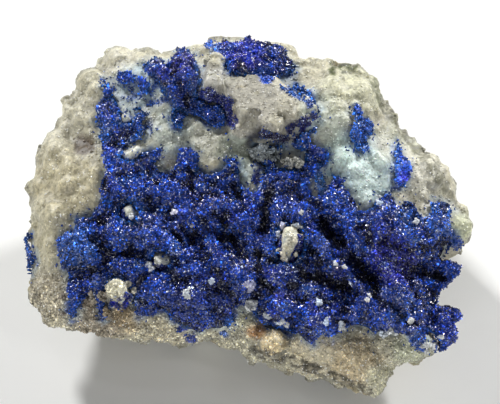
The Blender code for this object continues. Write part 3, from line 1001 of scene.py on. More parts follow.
@dataclass(frozen=True)
class Fold:
    """A long ridge in the blue crust, or a hollow where its rise is below 0.

    Attributes:
        start: One end, as u and v.
        end: The other end.
        width: From its middle line to where it has run out.
        rise: Its height.
    """

    start: tuple[float, float]
    end: tuple[float, float]
    width: float
    rise: float

    def share(self, face: np.ndarray, wander: np.ndarray) -> np.ndarray:
        """1 on the middle line and 0 outside, for each place of the face.

        Args:
            face: The places' u, v and w.
            wander: How far each place is put out from the line, for uneven edges.

        Returns:
            A share from 0 to 1.
        """
        start, along = np.array(self.start), np.subtract(self.end, self.start)
        offset = face[:, :2] - start
        part = np.clip(offset @ along / max(along @ along, 1e-6), 0.0, 1.0)
        away = np.linalg.norm(offset - part[:, None] * along, axis=1)
        return 1.0 - smooth_step(0.0, 1.0, (away + wander) / self.width)


@dataclass(frozen=True)
class Patch:
    """A round patch of the face with its own tone.

    Attributes:
        u: Its centre to the right.
        v: Its centre up the face.
        radius: Where it has faded out.
        colour: Its sRGB colour.
        strength: How much of its colour shows in the middle.
    """

    u: float
    v: float
    radius: float
    colour: str
    strength: float = 1.0


def tinted(
    tones: np.ndarray, face: np.ndarray, patches: tuple[Patch, ...], wander: np.ndarray
) -> np.ndarray:
    """Lays patches of tone over tones.

    Args:
        tones: Linear colours, one for each place.
        face: The places' u, v and w.
        patches: What is laid over them.
        wander: How far each place's distance to a patch is put out, for soft edges.

    Returns:
        The new tones.
    """
    for patch in patches:
        away = np.hypot(face[:, 0] - patch.u, face[:, 1] - patch.v) + wander
        share = patch.strength * (1.0 - smooth_step(0.45, 1.0, away / patch.radius))
        tones = tones + (linear(patch.colour) - tones) * share[:, None]
    return tones


PIT = (-26.7, 9.2)
PIT_RADIUS = 1.2
QUARTZ_BASE = "#DBD6C1"
QUARTZ_PATCHES = (
    Patch(-31.0, 13.0, 9.0, "#E3DECB"),
    Patch(-29.0, 3.0, 8.0, "#E4DBBE"),
    Patch(-31.0, -6.0, 6.0, "#DBD4BA"),
    Patch(-32.0, -15.0, 6.5, "#C2BAA8"),
    Patch(-23.5, -18.5, 6.0, "#ACA292"),
    Patch(-19.0, -18.0, 3.5, "#AE9A79", 0.8),
    # Painted shade: the pit is painted dark brown, the shade in its hollow over its own brownish
    # tone.
    Patch(*PIT, 2.0, "#6A594B", 0.9),
    Patch(-20.5, -14.4, 2.6, "#ECE7D2"),
    Patch(6.2, -6.2, 2.4, "#FFFCEB"),
    Patch(-18.6, 7.8, 2.2, "#FFFCEC"),
    Patch(-14.0, -9.5, 1.8, "#FFFFF8"),
    Patch(-18.9, -1.7, 1.8, "#FFFFF4"),
    Patch(-13.5, -20.5, 5.0, "#D5CDB7"),
    Patch(-21.0, 22.0, 4.5, "#EFEAD9"),
    Patch(-18.0, 18.0, 5.5, "#C8DAE2", 0.85),
    Patch(-12.5, 11.0, 5.5, "#DDE5DE", 0.95),
    Patch(-6.5, 9.5, 4.0, "#DCDCCF", 0.9),
    Patch(-6.0, 19.0, 4.5, "#D9D7D2"),
    Patch(0.5, 15.5, 8.0, "#D0CCC2"),
    Patch(7.0, 14.5, 4.5, "#D0CBBC"),
    Patch(6.0, 20.5, 2.5, "#9FA7B1", 0.8),
    Patch(-1.5, 8.5, 4.0, "#CBD5C8", 0.9),
    Patch(3.5, 6.0, 4.0, "#C8CFD0", 0.95),
    Patch(-3.0, 4.0, 4.0, "#D2DEDA", 0.9),
    Patch(7.5, 6.5, 2.6, "#CACBC5"),
    # Painted shadow: these two dark grey patches stand for the shade in the hollow under the
    # ledge.
    Patch(1.5, 9.8, 2.1, "#3A3B4C", 0.95),
    Patch(4.6, 9.1, 1.7, "#323247", 0.95),
    Patch(-0.6, 13.6, 2.6, "#E2DED0", 0.95),
    Patch(-1.8, 11.8, 1.3, "#E2DED0"),
    Patch(4.0, 12.6, 2.0, "#E6E1D0", 0.95),
    Patch(12.0, 14.0, 6.0, "#D9DFD3"),
    Patch(18.5, 5.0, 7.5, "#ECFFFF"),
    Patch(14.0, 8.0, 4.0, "#DDF3F0", 0.8),
    Patch(17.0, 18.5, 6.5, "#E8E6CD"),
    Patch(24.0, 10.0, 5.0, "#E5E5D4"),
    Patch(27.0, 4.5, 5.5, "#EEEBDD"),
    Patch(33.5, -4.0, 4.0, "#E3E6CB"),
    Patch(3.5, -22.3, 3.6, "#EFDDB8"),
    Patch(0.6, -20.2, 2.2, "#B87F44", 0.8),
    Patch(-1.5, -18.0, 3.4, "#E3DFC5"),
    Patch(10.0, -24.0, 5.0, "#F0E6CC"),
    Patch(17.0, -25.5, 5.5, "#E8D8B8"),
    Patch(21.0, -28.5, 4.0, "#E6E2C8"),
    Patch(26.0, -24.0, 4.0, "#E2E4CC"),
)
TIP_SIDE = Fold((24.6, -26.6), (22.0, -31.0), 2.6, -1.4)
LEDGE_KNOBS = (
    Knob(-7.0, 24.0, 1.32, 0.65),
    Knob(-5.6, 21.8, 1.5, 0.95),
    Knob(-6.2, 19.0, 1.32, 1.05),
    Knob(-6.6, 16.8, 1.06, 1.25),
    Knob(-3.0, 18.9, 0.97, 0.75),
    Knob(-1.6, 17.6, 1.5, 1.05),
    Knob(0.6, 18.6, 1.41, 0.65),
    Knob(1.0, 16.2, 1.5, 1.05),
    Knob(-1.0, 15.0, 1.32, 1.35),
    Knob(-1.6, 13.2, 0.97, 1.45),
    Knob(-1.8, 11.9, 0.66, 1.65),
    Knob(3.2, 17.6, 1.41, 0.75),
    Knob(3.2, 14.9, 1.5, 1.15),
    Knob(2.2, 13.2, 1.23, 1.35),
    Knob(4.4, 12.6, 0.97, 1.45),
    Knob(4.3, 11.6, 0.62, 1.45),
    Knob(5.4, 15.3, 1.5, 1.05),
    Knob(6.6, 13.6, 1.06, 1.05),
    Knob(7.9, 14.6, 0.88, 1.05),
    Knob(8.4, 13.2, 0.7, 1.05),
    Knob(4.4, 17.6, 1.06, 0.55),
    Knob(6.6, 16.0, 0.79, 0.55),
)
FINGER_KNOBS = (
    Knob(-20.3, 23.2, 0.95, 0.0),
    Knob(-18.1, 23.5, 0.85, 0.0),
    Knob(-16.3, 23.7, 0.85, 0.0),
    Knob(-25.2, 20.0, 1.1, 0.0),
    Knob(-26.9, 18.7, 0.9, 0.0),
    Knob(-29.2, 15.8, 1.0, 0.0),
    Knob(-28.3, 17.2, 0.8, 0.0),
    Knob(-33.3, 7.3, 1.0, 0.0),
    Knob(-34.0, -0.6, 0.8, 0.0),
    Knob(16.0, 22.3, 1.0, 0.0),
    Knob(19.4, 21.4, 0.9, 0.0),
    Knob(23.8, 14.0, 1.0, 0.0),
    Knob(26.4, 10.2, 0.9, 0.0),
    Knob(-19.4, 7.2, 0.85, 0.9),
    Knob(-18.6, 7.7, 0.75, 0.9),
    Knob(-17.8, 8.4, 0.7, 0.9),
    Knob(-19.6, 13.3, 0.8, 0.5),
    Knob(3.6, -22.5, 1.9, 0.3),
    Knob(1.6, -22.6, 1.3, 0.3),
    Knob(5.2, -22.4, 1.2, 0.3),
)


def crowd_of(
    base: Front,
    clear: Front | None,
    count: int,
    radius: float,
    sink: float,
    seed: int,
    lowest: float,
) -> Nodules:
    """Crowds nodules over the part of a surface that faces the viewer.

    Args:
        base: What they grow on.
        clear: What they keep clear of, if anything.
        count: How many are tried.
        radius: Their usual radius.
        sink: How deep the middle lies, as a share of the radius.
        seed: Of the random choices.
        lowest: Nothing grows below this height.

    Returns:
        The nodules.
    """
    chance = np.random.default_rng(seed)
    normals = base.shape.normals()
    weight = smooth_step(-0.35, 0.25, normals @ FACE_W)
    roots, chosen, _ = scatter(base.shape, weight, count, chance)
    facing, _ = base.shape.face_normals()
    least, most = NODULE_RANGE
    radii = radius * chance.lognormal(0.0, NODULE_SPREAD, count)
    radii = np.clip(radii, least * radius, most * radius)
    centres = roots - facing[chosen] * (radii * sink)[:, None]
    kept = centres[:, 2] - radii > lowest
    if clear is not None:
        centres = base.drawn_in(centres, 0.55 * radii)
        kept &= (
            np.linalg.norm(face_coordinates(centres)[:, :2] - PIT, axis=1) > PIT_RADIUS + radii
        )
    if clear is None:
        kept &= base.spans(centres, radii * 0.9 + 0.25)
    else:
        kept &= clear.distances(centres) > radii * 0.95
        kept &= ~clear.covers(centres + FACE_W * radii[:, None])
    return Nodules(centres[kept], radii[kept])


def knobs_on(base: Front, knobs: tuple[Knob, ...]) -> Nodules:
    """Sets single knobs on a surface where the face shows them.

    Args:
        base: What they grow on.
        knobs: Their places and sizes.

    Returns:
        The nodules.
    """
    centres = [base.meet(knob.u, knob.v)[0] + knob.rise * FACE_W for knob in knobs]
    return Nodules(np.array(centres), np.array([knob.radius for knob in knobs]))


def together(*groups: Nodules) -> Nodules:
    """Makes one group of nodules from several.

    Args:
        *groups: The groups.

    Returns:
        All of them in one.
    """
    return Nodules(
        np.concatenate([group.centres for group in groups]),
        np.concatenate([group.radii for group in groups]),
    )


def search_tree(places: np.ndarray) -> KDTree:
    """Makes a tree that finds the nearest of some places.

    Args:
        places: Places in millimetres.

    Returns:
        The tree, which gives a place's number in their order.
    """
    tree = KDTree(len(places))
    for number, place in enumerate(places):
        tree.insert(place, number)
    tree.balance()
    return tree


@dataclass
class QuartzMatrix:
    """The rock with its coat of quartz, in place of the solid quartz_matrix.

    Attributes:
        crusts: The blue crusts, which its nodules keep clear of.
        voxel: Width of the finer mesh's faces.
        smoothing: How many rounds take the edges off the solid's facets.
        facet: Width of a broken facet on the sides and the back.
        chip: Width of a small chip there.
        seed: Of the random choices.
        shape: The finer shape.
        front: 1 where the coat faces the viewer and 0 on the broken sides.
        raised: 0 at the base, which stays flat, and 1 above it.
        rough: 1 along the lower edge, where the coat is broken, and 0 above it.
        tones: A linear colour for each point.
    """

    crusts: Front
    voxel: float = 0.38
    smoothing: int = 3
    facet: float = 4.6
    chip: float = 1.5
    seed: int = 11
    shape: Shape = field(init=False)
    front: np.ndarray = field(init=False)
    raised: np.ndarray = field(init=False)
    rough: np.ndarray = field(init=False)
    tones: np.ndarray = field(init=False)

    def __post_init__(self) -> None:
        """Refines the solid, with nodules on it, roughens it and colours it."""
        base = Front("quartz_matrix")
        nodules = together(
            crowd_of(base, self.crusts, count=260, radius=1.9, sink=0.55, seed=100, lowest=3.0),
            crowd_of(base, self.crusts, count=900, radius=0.95, sink=0.35, seed=101, lowest=2.2),
            knobs_on(base, LEDGE_KNOBS + FINGER_KNOBS),
        )
        self.shape = refined(working_mesh("quartz_matrix"), self.voxel, self.smoothing, nodules)
        normals = self.shape.normals()
        self.front = smooth_step(-0.05, 0.35, normals @ FACE_W)
        self.raised = smooth_step(0.3, 1.6, self.shape.places[:, 2])
        face = face_coordinates(self.shape.places)
        self.rough = smooth_step(-9.0, -15.0, face[:, 1])
        self.rough *= 1.0 - 0.5 * smooth_step(-4.0, 4.0, face[:, 0])
        self.roughen(normals)
        self.tones = self.tone()

    def coat(self) -> np.ndarray:
        """Works out the sugary coat's lumps.

        Returns:
            Their height at each point.
        """
        at = self.shape.places
        uneven = at + 0.5 * layered_noise(at, 1.6, 7, 2)[:, None]
        height = 0.3 * lumps(uneven, 2.6, 1) + 0.22 * lumps(uneven, 1.2, 2) - 0.34
        height += (0.02 + 0.22 * self.rough) * lumps(at, 0.6, 3)
        return height

    def broken(self) -> np.ndarray:
        """Works out the broken rock's facets and chips.

        Returns:
            Their height at each point.
        """
        at = self.shape.places
        facets = cells_at(at + 1.2 * layered_noise(at, 5.0, 8, 2)[:, None], self.facet, 4)
        slope = facets.randoms[:, :3] - 0.5
        height = 0.5 * np.clip((facets.offset * slope).sum(axis=1), -1.3, 1.3)
        height += 0.2 * layered_noise(at, 1.6, 9, 3)
        chips = cells_at(at, self.chip, 5)
        height += 0.4 * (chips.offset * (chips.randoms[:, :3] - 0.5)).sum(axis=1)
        return height

    def roughen(self, normals: np.ndarray) -> None:
        """Gives the coat its lumps and the broken sides their facets.

        Args:
            normals: The way out of the surface at each point.
        """
        at = self.shape.places
        height = self.front * self.coat() + (1.0 - self.front) * self.broken()
        chance = np.random.default_rng(self.seed)
        jitter = chance.normal(size=at.shape) * (0.004 + 0.066 * self.rough)[:, None]
        move = normals * height[:, None] + jitter
        share = TIP_SIDE.share(face_coordinates(at), np.zeros(len(at)))
        move += np.outer(TIP_SIDE.rise * share, FACE_U)
        self.shape.places = lowered(at + move * self.raised[:, None])

    def tone(self) -> np.ndarray:
        """Works out the colours of the coat, patch by patch, and of the bare rock.

        Returns:
            A linear colour for each point.
        """
        at = self.shape.places
        face = face_coordinates(at)
        tones = np.tile(linear(QUARTZ_BASE), (len(at), 1))
        tones = tinted(tones, face, QUARTZ_PATCHES, 1.3 * layered_noise(at, 2.6, 21, 2))
        # Strips along the edges show bare broken rock, painted darker as painted shade on the rims
        # that face away from the light.
        uneven = layered_noise(at, 0.9, 27, 3)
        for strip in SHADED_BROKEN_STRIPS:
            tones += (linear(strip.colour) - tones) * strip.share(face, uneven)[:, None]
        # Painted light: crests are painted lighter as painted highlight, and clefts painted darker
        # towards grey brown as painted shade.
        relief = face[:, 2] - self.shape.relaxed(face[:, 2], 40)
        crest = smooth_step(-0.8, 0.6, relief)
        painted_cleft_shade = 1.0 - smooth_step(-1.1, -0.1, relief)
        tones *= (0.61 + 0.14 * self.rough + 0.14 * crest)[:, None]
        tones *= np.array([1.0, 1.0, 0.95])
        speckle = layered_noise(at, 0.8, 61, 3) * self.rough
        tones *= np.exp(0.8 * speckle)[:, None]
        tones += (linear("#6F6A5C") - tones) * (0.5 * painted_cleft_shade)[:, None]
        # The sides and the back are grey rock with brown veins and pale quartz in it.
        back = 1.0 - self.front
        rock = np.tile(linear("#8B8A7E"), (len(at), 1))
        veins = smooth_step(0.1, 0.5, layered_noise(at, 6.0, 25, 3))
        rock += (linear("#A1977A") - rock) * veins[:, None]
        pale = smooth_step(0.25, 0.55, layered_noise(at, 4.0, 29, 3))
        rock += (linear("#BDBBAA") - rock) * pale[:, None]
        rock *= np.exp(0.45 * layered_noise(at, 0.9, 65, 3))[:, None]
        return tones + (rock - tones) * back[:, None]

    def stain(self, crusts: Front) -> tuple[np.ndarray, np.ndarray]:
        """Stains the quartz azure beside the crusts.

        Args:
            crusts: The blue crusts.

        Returns:
            Each point's distance to the nearest crust, and whether a crust hides it.
        """
        at = self.shape.places
        distance = crusts.distances(at)
        hidden = crusts.covers(at)
        ragged = distance + 0.9 * layered_noise(at, 1.1, 31, 2)
        halo = 0.4 * (1.0 - smooth_step(0.1, 1.2, ragged)) * self.front
        self.tones += (linear("#8FB2D0") - self.tones) * halo[:, None]
        face = face_coordinates(at)
        broken = layered_noise(at, 1.3, 35, 3)
        for film in FILMS:
            share = film.share(face, broken) * self.front
            self.tones += (linear(film.colour) - self.tones) * (0.9 * share)[:, None]
        deep = 0.8 * (1.0 - smooth_step(0.0, 0.3, ragged)) * self.front
        self.tones += (linear("#2C51A6") - self.tones) * deep[:, None]
        return distance, hidden


BLUE_PATCHES = (
    Patch(-27.2, -6.9, 4.6, "#4276D3", 0.9),
    Patch(-23.6, 11.0, 2.6, "#3673C6", 0.8),
    Patch(-6.3, 24.4, 2.6, "#2F75E7", 0.95),
    Patch(2.1, 20.2, 2.3, "#4271E7", 0.9),
    Patch(30.0, -2.6, 4.2, "#3C6DD3", 0.85),
    Patch(25.6, -2.6, 3.0, "#3366BB", 0.8),
    Patch(24.0, -17.3, 3.2, "#305CB3", 0.8),
    Patch(31.2, -19.7, 4.0, "#2F50CD", 0.8),
    Patch(12.0, -21.3, 2.4, "#356FE1", 0.8),
    Patch(17.6, -20.4, 2.2, "#356DD8", 0.7),
    Patch(-9.0, -15.0, 4.5, "#3248A9", 0.6),
    Patch(-1.6, 23.5, 4.6, "#1D36D4", 0.9),
    Patch(17.2, 11.4, 4.6, "#3D78E0", 0.8),
    Patch(24.3, 6.6, 3.4, "#4A6FE0", 0.8),
    Patch(24.8, 2.6, 3.0, "#4A42C8", 0.7),
    Patch(22.4, -9.5, 5.0, "#352FB4", 0.75),
    # Painted shade: near black in a deep gap below the crown.
    Patch(-1.4, 21.0, 1.8, "#0F0837", 0.95),
    Patch(-10.6, 22.4, 3.0, "#2A2397", 0.7),
    Patch(6.4, -0.6, 2.4, "#3B5BCA", 0.7),
    # Painted shade: these deep navy patches lie in the pits and cavities of the crust.
    Patch(16.0, -11.0, 6.0, "#131A62", 0.55),
    Patch(7.0, -11.5, 4.0, "#131A62", 0.5),
    Patch(-15.5, -4.5, 7.5, "#3561CC", 0.4),
    Patch(-27.0, 2.0, 3.0, "#1C2A78", 0.4),
    Patch(-18.4, 7.0, 3.4, "#161F66", 0.5),
    Patch(-20.5, 12.5, 3.0, "#2A3CB4", 0.5),
    Patch(-9.5, 18.0, 3.0, "#14195C", 0.6),
    Patch(10.5, -6.8, 3.0, "#305ABD", 0.7),
)
BLUE_FOLDS = (
    Fold((11.5, -3.6), (14.2, -6.8), 1.9, -1.5),
    Fold((8.0, -6.0), (9.9, -7.8), 1.4, -1.8),
    Fold((8.6, -11.4), (15.0, -13.0), 2.0, -1.6),
    Fold((14.9, -12.6), (15.3, -13.8), 1.8, -1.4),
    Fold((16.2, -8.4), (19.3, -13.0), 1.2, -1.2),
    Fold((19.5, -12.0), (19.8, -14.4), 1.8, -1.8),
    Fold((2.9, 1.0), (2.7, -1.2), 1.7, -1.0),
    Fold((2.4, -2.2), (2.0, -4.2), 1.5, -1.0),
    Fold((1.0, -8.0), (4.0, -9.6), 1.5, -1.4),
    Fold((1.9, -12.6), (3.5, -14.2), 1.3, -1.2),
    Fold((27.0, -11.0), (31.0, -12.2), 1.3, -1.3),
    Fold((15.0, -17.0), (16.0, -17.5), 1.2, -1.3),
    Fold((25.2, -19.0), (27.0, -19.2), 1.2, -1.2),
    Fold((22.8, -17.3), (23.6, -18.0), 1.0, -1.0),
    Fold((-12.2, -5.2), (-10.8, -6.4), 1.6, -1.5),
    Fold((-12.0, -8.4), (-11.4, -9.6), 1.3, -1.3),
    Fold((-5.6, -2.0), (-4.0, -3.4), 1.4, -1.3),
    Fold((-2.6, 2.6), (-1.8, 1.0), 1.2, -1.2),
    Fold((-23.2, 5.0), (-23.0, 2.0), 1.2, -1.0),
    Fold((-17.0, 8.6), (-15.6, 7.8), 1.1, -1.0),
    Fold((-14.4, -16.4), (-13.2, -17.4), 1.2, -1.0),
    Fold((8.4, -4.6), (13.4, -9.6), 1.5, 0.8),
    Fold((15.0, -1.8), (16.4, -6.8), 1.2, 0.8),
    Fold((16.4, -6.8), (19.0, -14.6), 0.9, 0.9),
    Fold((20.0, -3.0), (23.5, -8.0), 2.2, 0.7),
)


@dataclass
class LinariteCrust:
    """One blue crust, in place of the solid of the same name.

    Attributes:
        node: The solid's name.
        voxel: Width of the finer mesh's faces.
        crowd: How many nodules are tried on it.
        inset: How far its walls are drawn in.
        thinness: 1 for a thick dark crust and more for a thin light one.
        salt: Keeps this crust's random choices its own.
        shape: The finer shape.
        front: 1 where it faces the viewer and 0 behind.
        hollow: 1 in the middle of a fold's hollow and 0 outside; the tones are painted darker
            there as painted shade.
        tones: A linear colour for each point.
        sparkle: How many blades are painted pale there as painted glints, 1 being usual.
    """

    node: str
    voxel: float
    crowd: int
    inset: float
    thinness: float
    salt: int
    shape: Shape = field(init=False)
    front: np.ndarray = field(init=False)
    hollow: np.ndarray = field(init=False)
    tones: np.ndarray = field(init=False)
    sparkle: np.ndarray = field(init=False)

    def __post_init__(self) -> None:
        """Refines the solid and roughens it."""
        nodules = crowd_of(
            Front(self.node), None,
            count=self.crowd, radius=0.52, sink=0.35, seed=self.salt, lowest=0.8,
        )
        self.shape = refined(working_mesh(self.node), self.voxel, 2, nodules)
        normals = self.shape.normals()
        self.front = smooth_step(-0.1, 0.3, normals @ FACE_W)
        at = self.shape.places
        wall = 1.0 - smooth_step(0.2, 0.75, np.abs(normals @ FACE_W))
        at = at - normals * (self.inset * wall)[:, None]
        coat = 0.5 * lumps(at, 4.2, 43) + 0.85 * lumps(at, 2.3, 40) + 0.45 * lumps(at, 1.2, 41)
        coat += 0.22 * lumps(at, 0.6, 42) - 1.0
        chance = np.random.default_rng(self.salt)
        jitter = chance.normal(size=at.shape) * (0.07 * self.front)[:, None]
        self.shape.places = at + normals * (coat * self.front)[:, None] + jitter
        face = face_coordinates(self.shape.places)
        # The long ridges and hollows that the photograph shows.
        self.hollow = np.zeros(len(at))
        wander = 0.25 + 0.75 * layered_noise(at, 1.8, 47, 2)
        for fold in BLUE_FOLDS:
            share = fold.share(face, wander) * self.front
            self.shape.places += np.outer(share * fold.rise, FACE_W)
            if fold.rise < 0.0:
                self.hollow = np.maximum(self.hollow, share)
        self.shape.places = lowered(self.shape.places)

    def dress(self, exposed: KDTree) -> None:
        """Works out the crust's colour at each point.

        Args:
            exposed: The quartz that shows beside the crusts, as a search tree.
        """
        at = self.shape.places
        edge = np.array([exposed.find(place)[2] for place in at])
        face = face_coordinates(at)
        relief = face[:, 2] - self.shape.relaxed(face[:, 2], 50)
        crest = smooth_step(-0.55, 0.55, relief)
        self.tones = self.thinness * self.blues(edge, crest)
        patchy = smooth_step(-0.3, 0.5, layered_noise(at, 2.8, 63, 2))
        # Painted glints gather on the crests, where light would catch the blades.
        self.sparkle = (0.25 + 0.75 * crest) * (0.35 + 1.1 * patchy)
        self.sparkle *= 1.0 - 0.65 * smooth_step(13.0, 18.0, face[:, 1])

    def blues(self, edge: np.ndarray, crest: np.ndarray) -> np.ndarray:
        """Colours: azure at thin edges; crests painted ultramarine as painted light and clefts
        navy as painted shade.

        Args:
            edge: Each point's distance to the nearest quartz that shows.
            crest: 0 in a cleft and 1 on a crest.

        Returns:
            A linear colour for each point.
        """
        at = self.shape.places
        mottle = layered_noise(at, 2.2, 51, 3)
        fine = layered_noise(at, 0.8, 55, 2)
        tones = np.tile(linear("#020A3C"), (len(at), 1))
        # Painted light: crests are painted lighter blue and clefts stay navy, as painted highlight
        # and shade.
        lit = np.clip(1.45 * crest - 0.27 + 0.45 * fine + 0.35 * mottle, 0.0, 1.0)
        tones += (linear("#2050C4") - tones) * lit[:, None]
        violet = smooth_step(0.1, 0.5, layered_noise(at, 3.6, 57, 2)) * lit
        tones += (linear("#2C37AE") - tones) * 0.6 * violet[:, None]
        face = face_coordinates(at)
        laid = tinted(tones, face, BLUE_PATCHES, 1.1 * mottle)
        tones += (laid - tones) * (0.3 + 0.7 * lit)[:, None]
        azure = 1.0 - smooth_step(0.3, 1.7, edge + 1.0 * mottle)
        azure = np.clip(azure + 0.6 * smooth_step(0.25, 0.6, mottle) * lit, 0.0, 1.0)
        tones += (linear("#2F76D2") - tones) * 0.7 * azure[:, None]
        # Painted shade: the hollows of the folds are painted darker.
        return tones * (1.0 - 0.72 * self.hollow)[:, None]


CRUSTS = (
    # Node, voxel, crowd, inset and thinness.
    ("linarite_main_crust", 0.31, 1500, 0.5, 1.0),
    ("linarite_crown", 0.25, 190, 0.0, 0.9),
    ("linarite_shoulder", 0.25, 210, 0.3, 1.0),
    ("linarite_left_tip", 0.22, 25, 0.4, 1.0),
    ("linarite_sprig", 0.22, 30, 0.5, 1.2),
    ("linarite_streak", 0.22, 25, 0.75, 1.7),
    ("linarite_bead", 0.22, 8, 0.5, 1.2),
    ("linarite_strand", 0.22, 25, 0.75, 1.7),
)
FIRST_CRUST_SALT = 201


@dataclass(frozen=True)
class Island:
    """A clump of quartz that stands on the blue crust.

    Attributes:
        u: Its middle, to the right.
        v: Its middle, up the face.
        wide: Half its width.
        tall: Half its height.
        count: How many nodules it has.
        colour: Its sRGB colour.
    """

    u: float
    v: float
    wide: float
    tall: float
    count: int
    colour: str = "#DDE0E0"


ISLANDS = (
    Island(2.4, 7.8, 2.2, 1.5, 60, "#B0B8BA"),
    Island(6.6, 6.2, 2.0, 0.8, 30, "#B4B5AD"),
    Island(-25.3, -15.9, 0.8, 1.9, 24, "#9B907E"),
    Island(-29.6, -16.0, 0.5, 1.8, 14, "#9B9285"),
    Island(-22.4, -18.0, 0.6, 1.6, 14, "#A4947A"),
    Island(-23.2, -14.9, 0.9, 0.6, 10, "#8C8477"),
    Island(6.9, -3.9, 0.25, 0.25, 3, "#E6E0CC"),
    Island(6.2, -5.4, 0.5, 0.45, 5, "#EFE9D2"),
    Island(7.1, -6.0, 0.3, 0.3, 3, "#E6E0CC"),
    Island(5.9, -6.8, 0.5, 0.8, 7, "#EFE9D2"),
    Island(5.3, -8.6, 0.35, 0.6, 5, "#E6E0CC"),
    Island(-14.2, -8.9, 0.6, 0.25, 4, "#FFFFF4"),
    Island(-15.6, -10.6, 0.35, 0.5, 4, "#C9CDD6"),
    Island(-12.0, -1.6, 0.3, 0.4, 3, "#E4E2F2"),
    Island(5.4, -8.9, 0.3, 0.4, 3, "#E6E0CC"),
    Island(8.3, -1.9, 0.5, 0.6, 3),
    Island(0.1, -13.2, 0.8, 0.9, 12, "#A7A8C2"),
    Island(0.2, -16.3, 1.0, 0.7, 9),
    Island(2.6, -17.6, 1.3, 0.8, 12),
    Island(5.2, -19.0, 1.1, 0.6, 8),
    Island(22.0, -20.6, 1.8, 0.6, 10),
    Island(-8.9, -3.4, 0.45, 0.5, 3),
    Island(-18.6, -2.1, 0.45, 0.5, 3),
    Island(-16.0, -10.2, 0.35, 0.35, 2),
    Island(-22.2, -13.3, 0.7, 0.35, 6, "#DAD6C4"),
    Island(-20.6, -13.6, 0.7, 0.6, 8, "#DAD6C4"),
    Island(-19.2, -12.9, 0.35, 0.4, 3, "#DAD6C4"),
    Island(-20.0, -15.2, 0.6, 0.6, 6, "#CFC9B4"),
    Island(-22.0, -14.8, 0.5, 0.4, 4, "#C4BDA8"),
    Island(18.6, -15.1, 0.5, 0.45, 3),
    Island(13.3, -9.7, 0.3, 0.3, 2),
    Island(16.1, -12.8, 0.35, 0.4, 2),
    Island(15.0, -10.2, 0.25, 0.25, 1),
    Island(10.9, -15.7, 0.5, 0.45, 3),
    Island(12.0, -18.6, 0.35, 0.6, 3),
    Island(14.5, -19.7, 0.45, 0.8, 4),
    Island(25.4, -18.7, 0.35, 0.35, 2),
    Island(28.2, -23.0, 1.1, 0.7, 9),
    Island(30.2, -21.1, 0.5, 0.4, 3),
    Island(-9.9, -14.0, 0.5, 0.9, 5),
    Island(7.8, -3.8, 0.45, 0.45, 4, "#C4C9CB"),
    Island(8.0, -5.6, 0.3, 0.4, 3, "#E6E0CC"),
    Island(4.5, -5.2, 0.3, 0.5, 3, "#CFD2DA"),
    Island(4.6, -7.4, 0.3, 0.4, 3, "#D9D6C8"),
    Island(7.2, -8.0, 0.25, 0.25, 2, "#E6E0CC"),
    Island(5.2, -3.7, 0.35, 0.25, 3, "#D8D2D8"),
    Island(-18.3, -14.0, 0.45, 0.35, 4, "#DAD6C4"),
    Island(-18.9, -15.7, 0.4, 0.35, 3, "#CFC9B4"),
    Island(-6.2, -12.6, 0.35, 0.4, 2),
    Island(26.0, -3.0, 0.5, 0.3, 2),
    Island(20.4, 0.4, 0.4, 0.8, 3),
)


@dataclass(frozen=True)
class Film:
    """A thin blue growth on the quartz, round or drawn out to a streak.

    Attributes:
        start: One end, as u and v.
        end: The other end; the same for a round one.
        width: From its middle line to where it has faded out.
        colour: Its sRGB colour.
        strength: 1 where it covers the quartz and less where it is broken up.
    """

    start: tuple[float, float]
    end: tuple[float, float]
    width: float
    colour: str
    strength: float = 1.0

    def share(self, face: np.ndarray, broken: np.ndarray) -> np.ndarray:
        """How much of each place it covers.

        Args:
            face: The places' u, v and w.
            broken: Soft noise that breaks it up.

        Returns:
            A share from 0 to the film's strength.
        """
        line = Fold(self.start, self.end, self.width, 0.0)
        share = self.strength * smooth_step(0.1, 0.6, line.share(face, np.zeros(len(face))))
        return share * smooth_step(0.45, 0.75, 0.75 * share + 0.8 * broken)


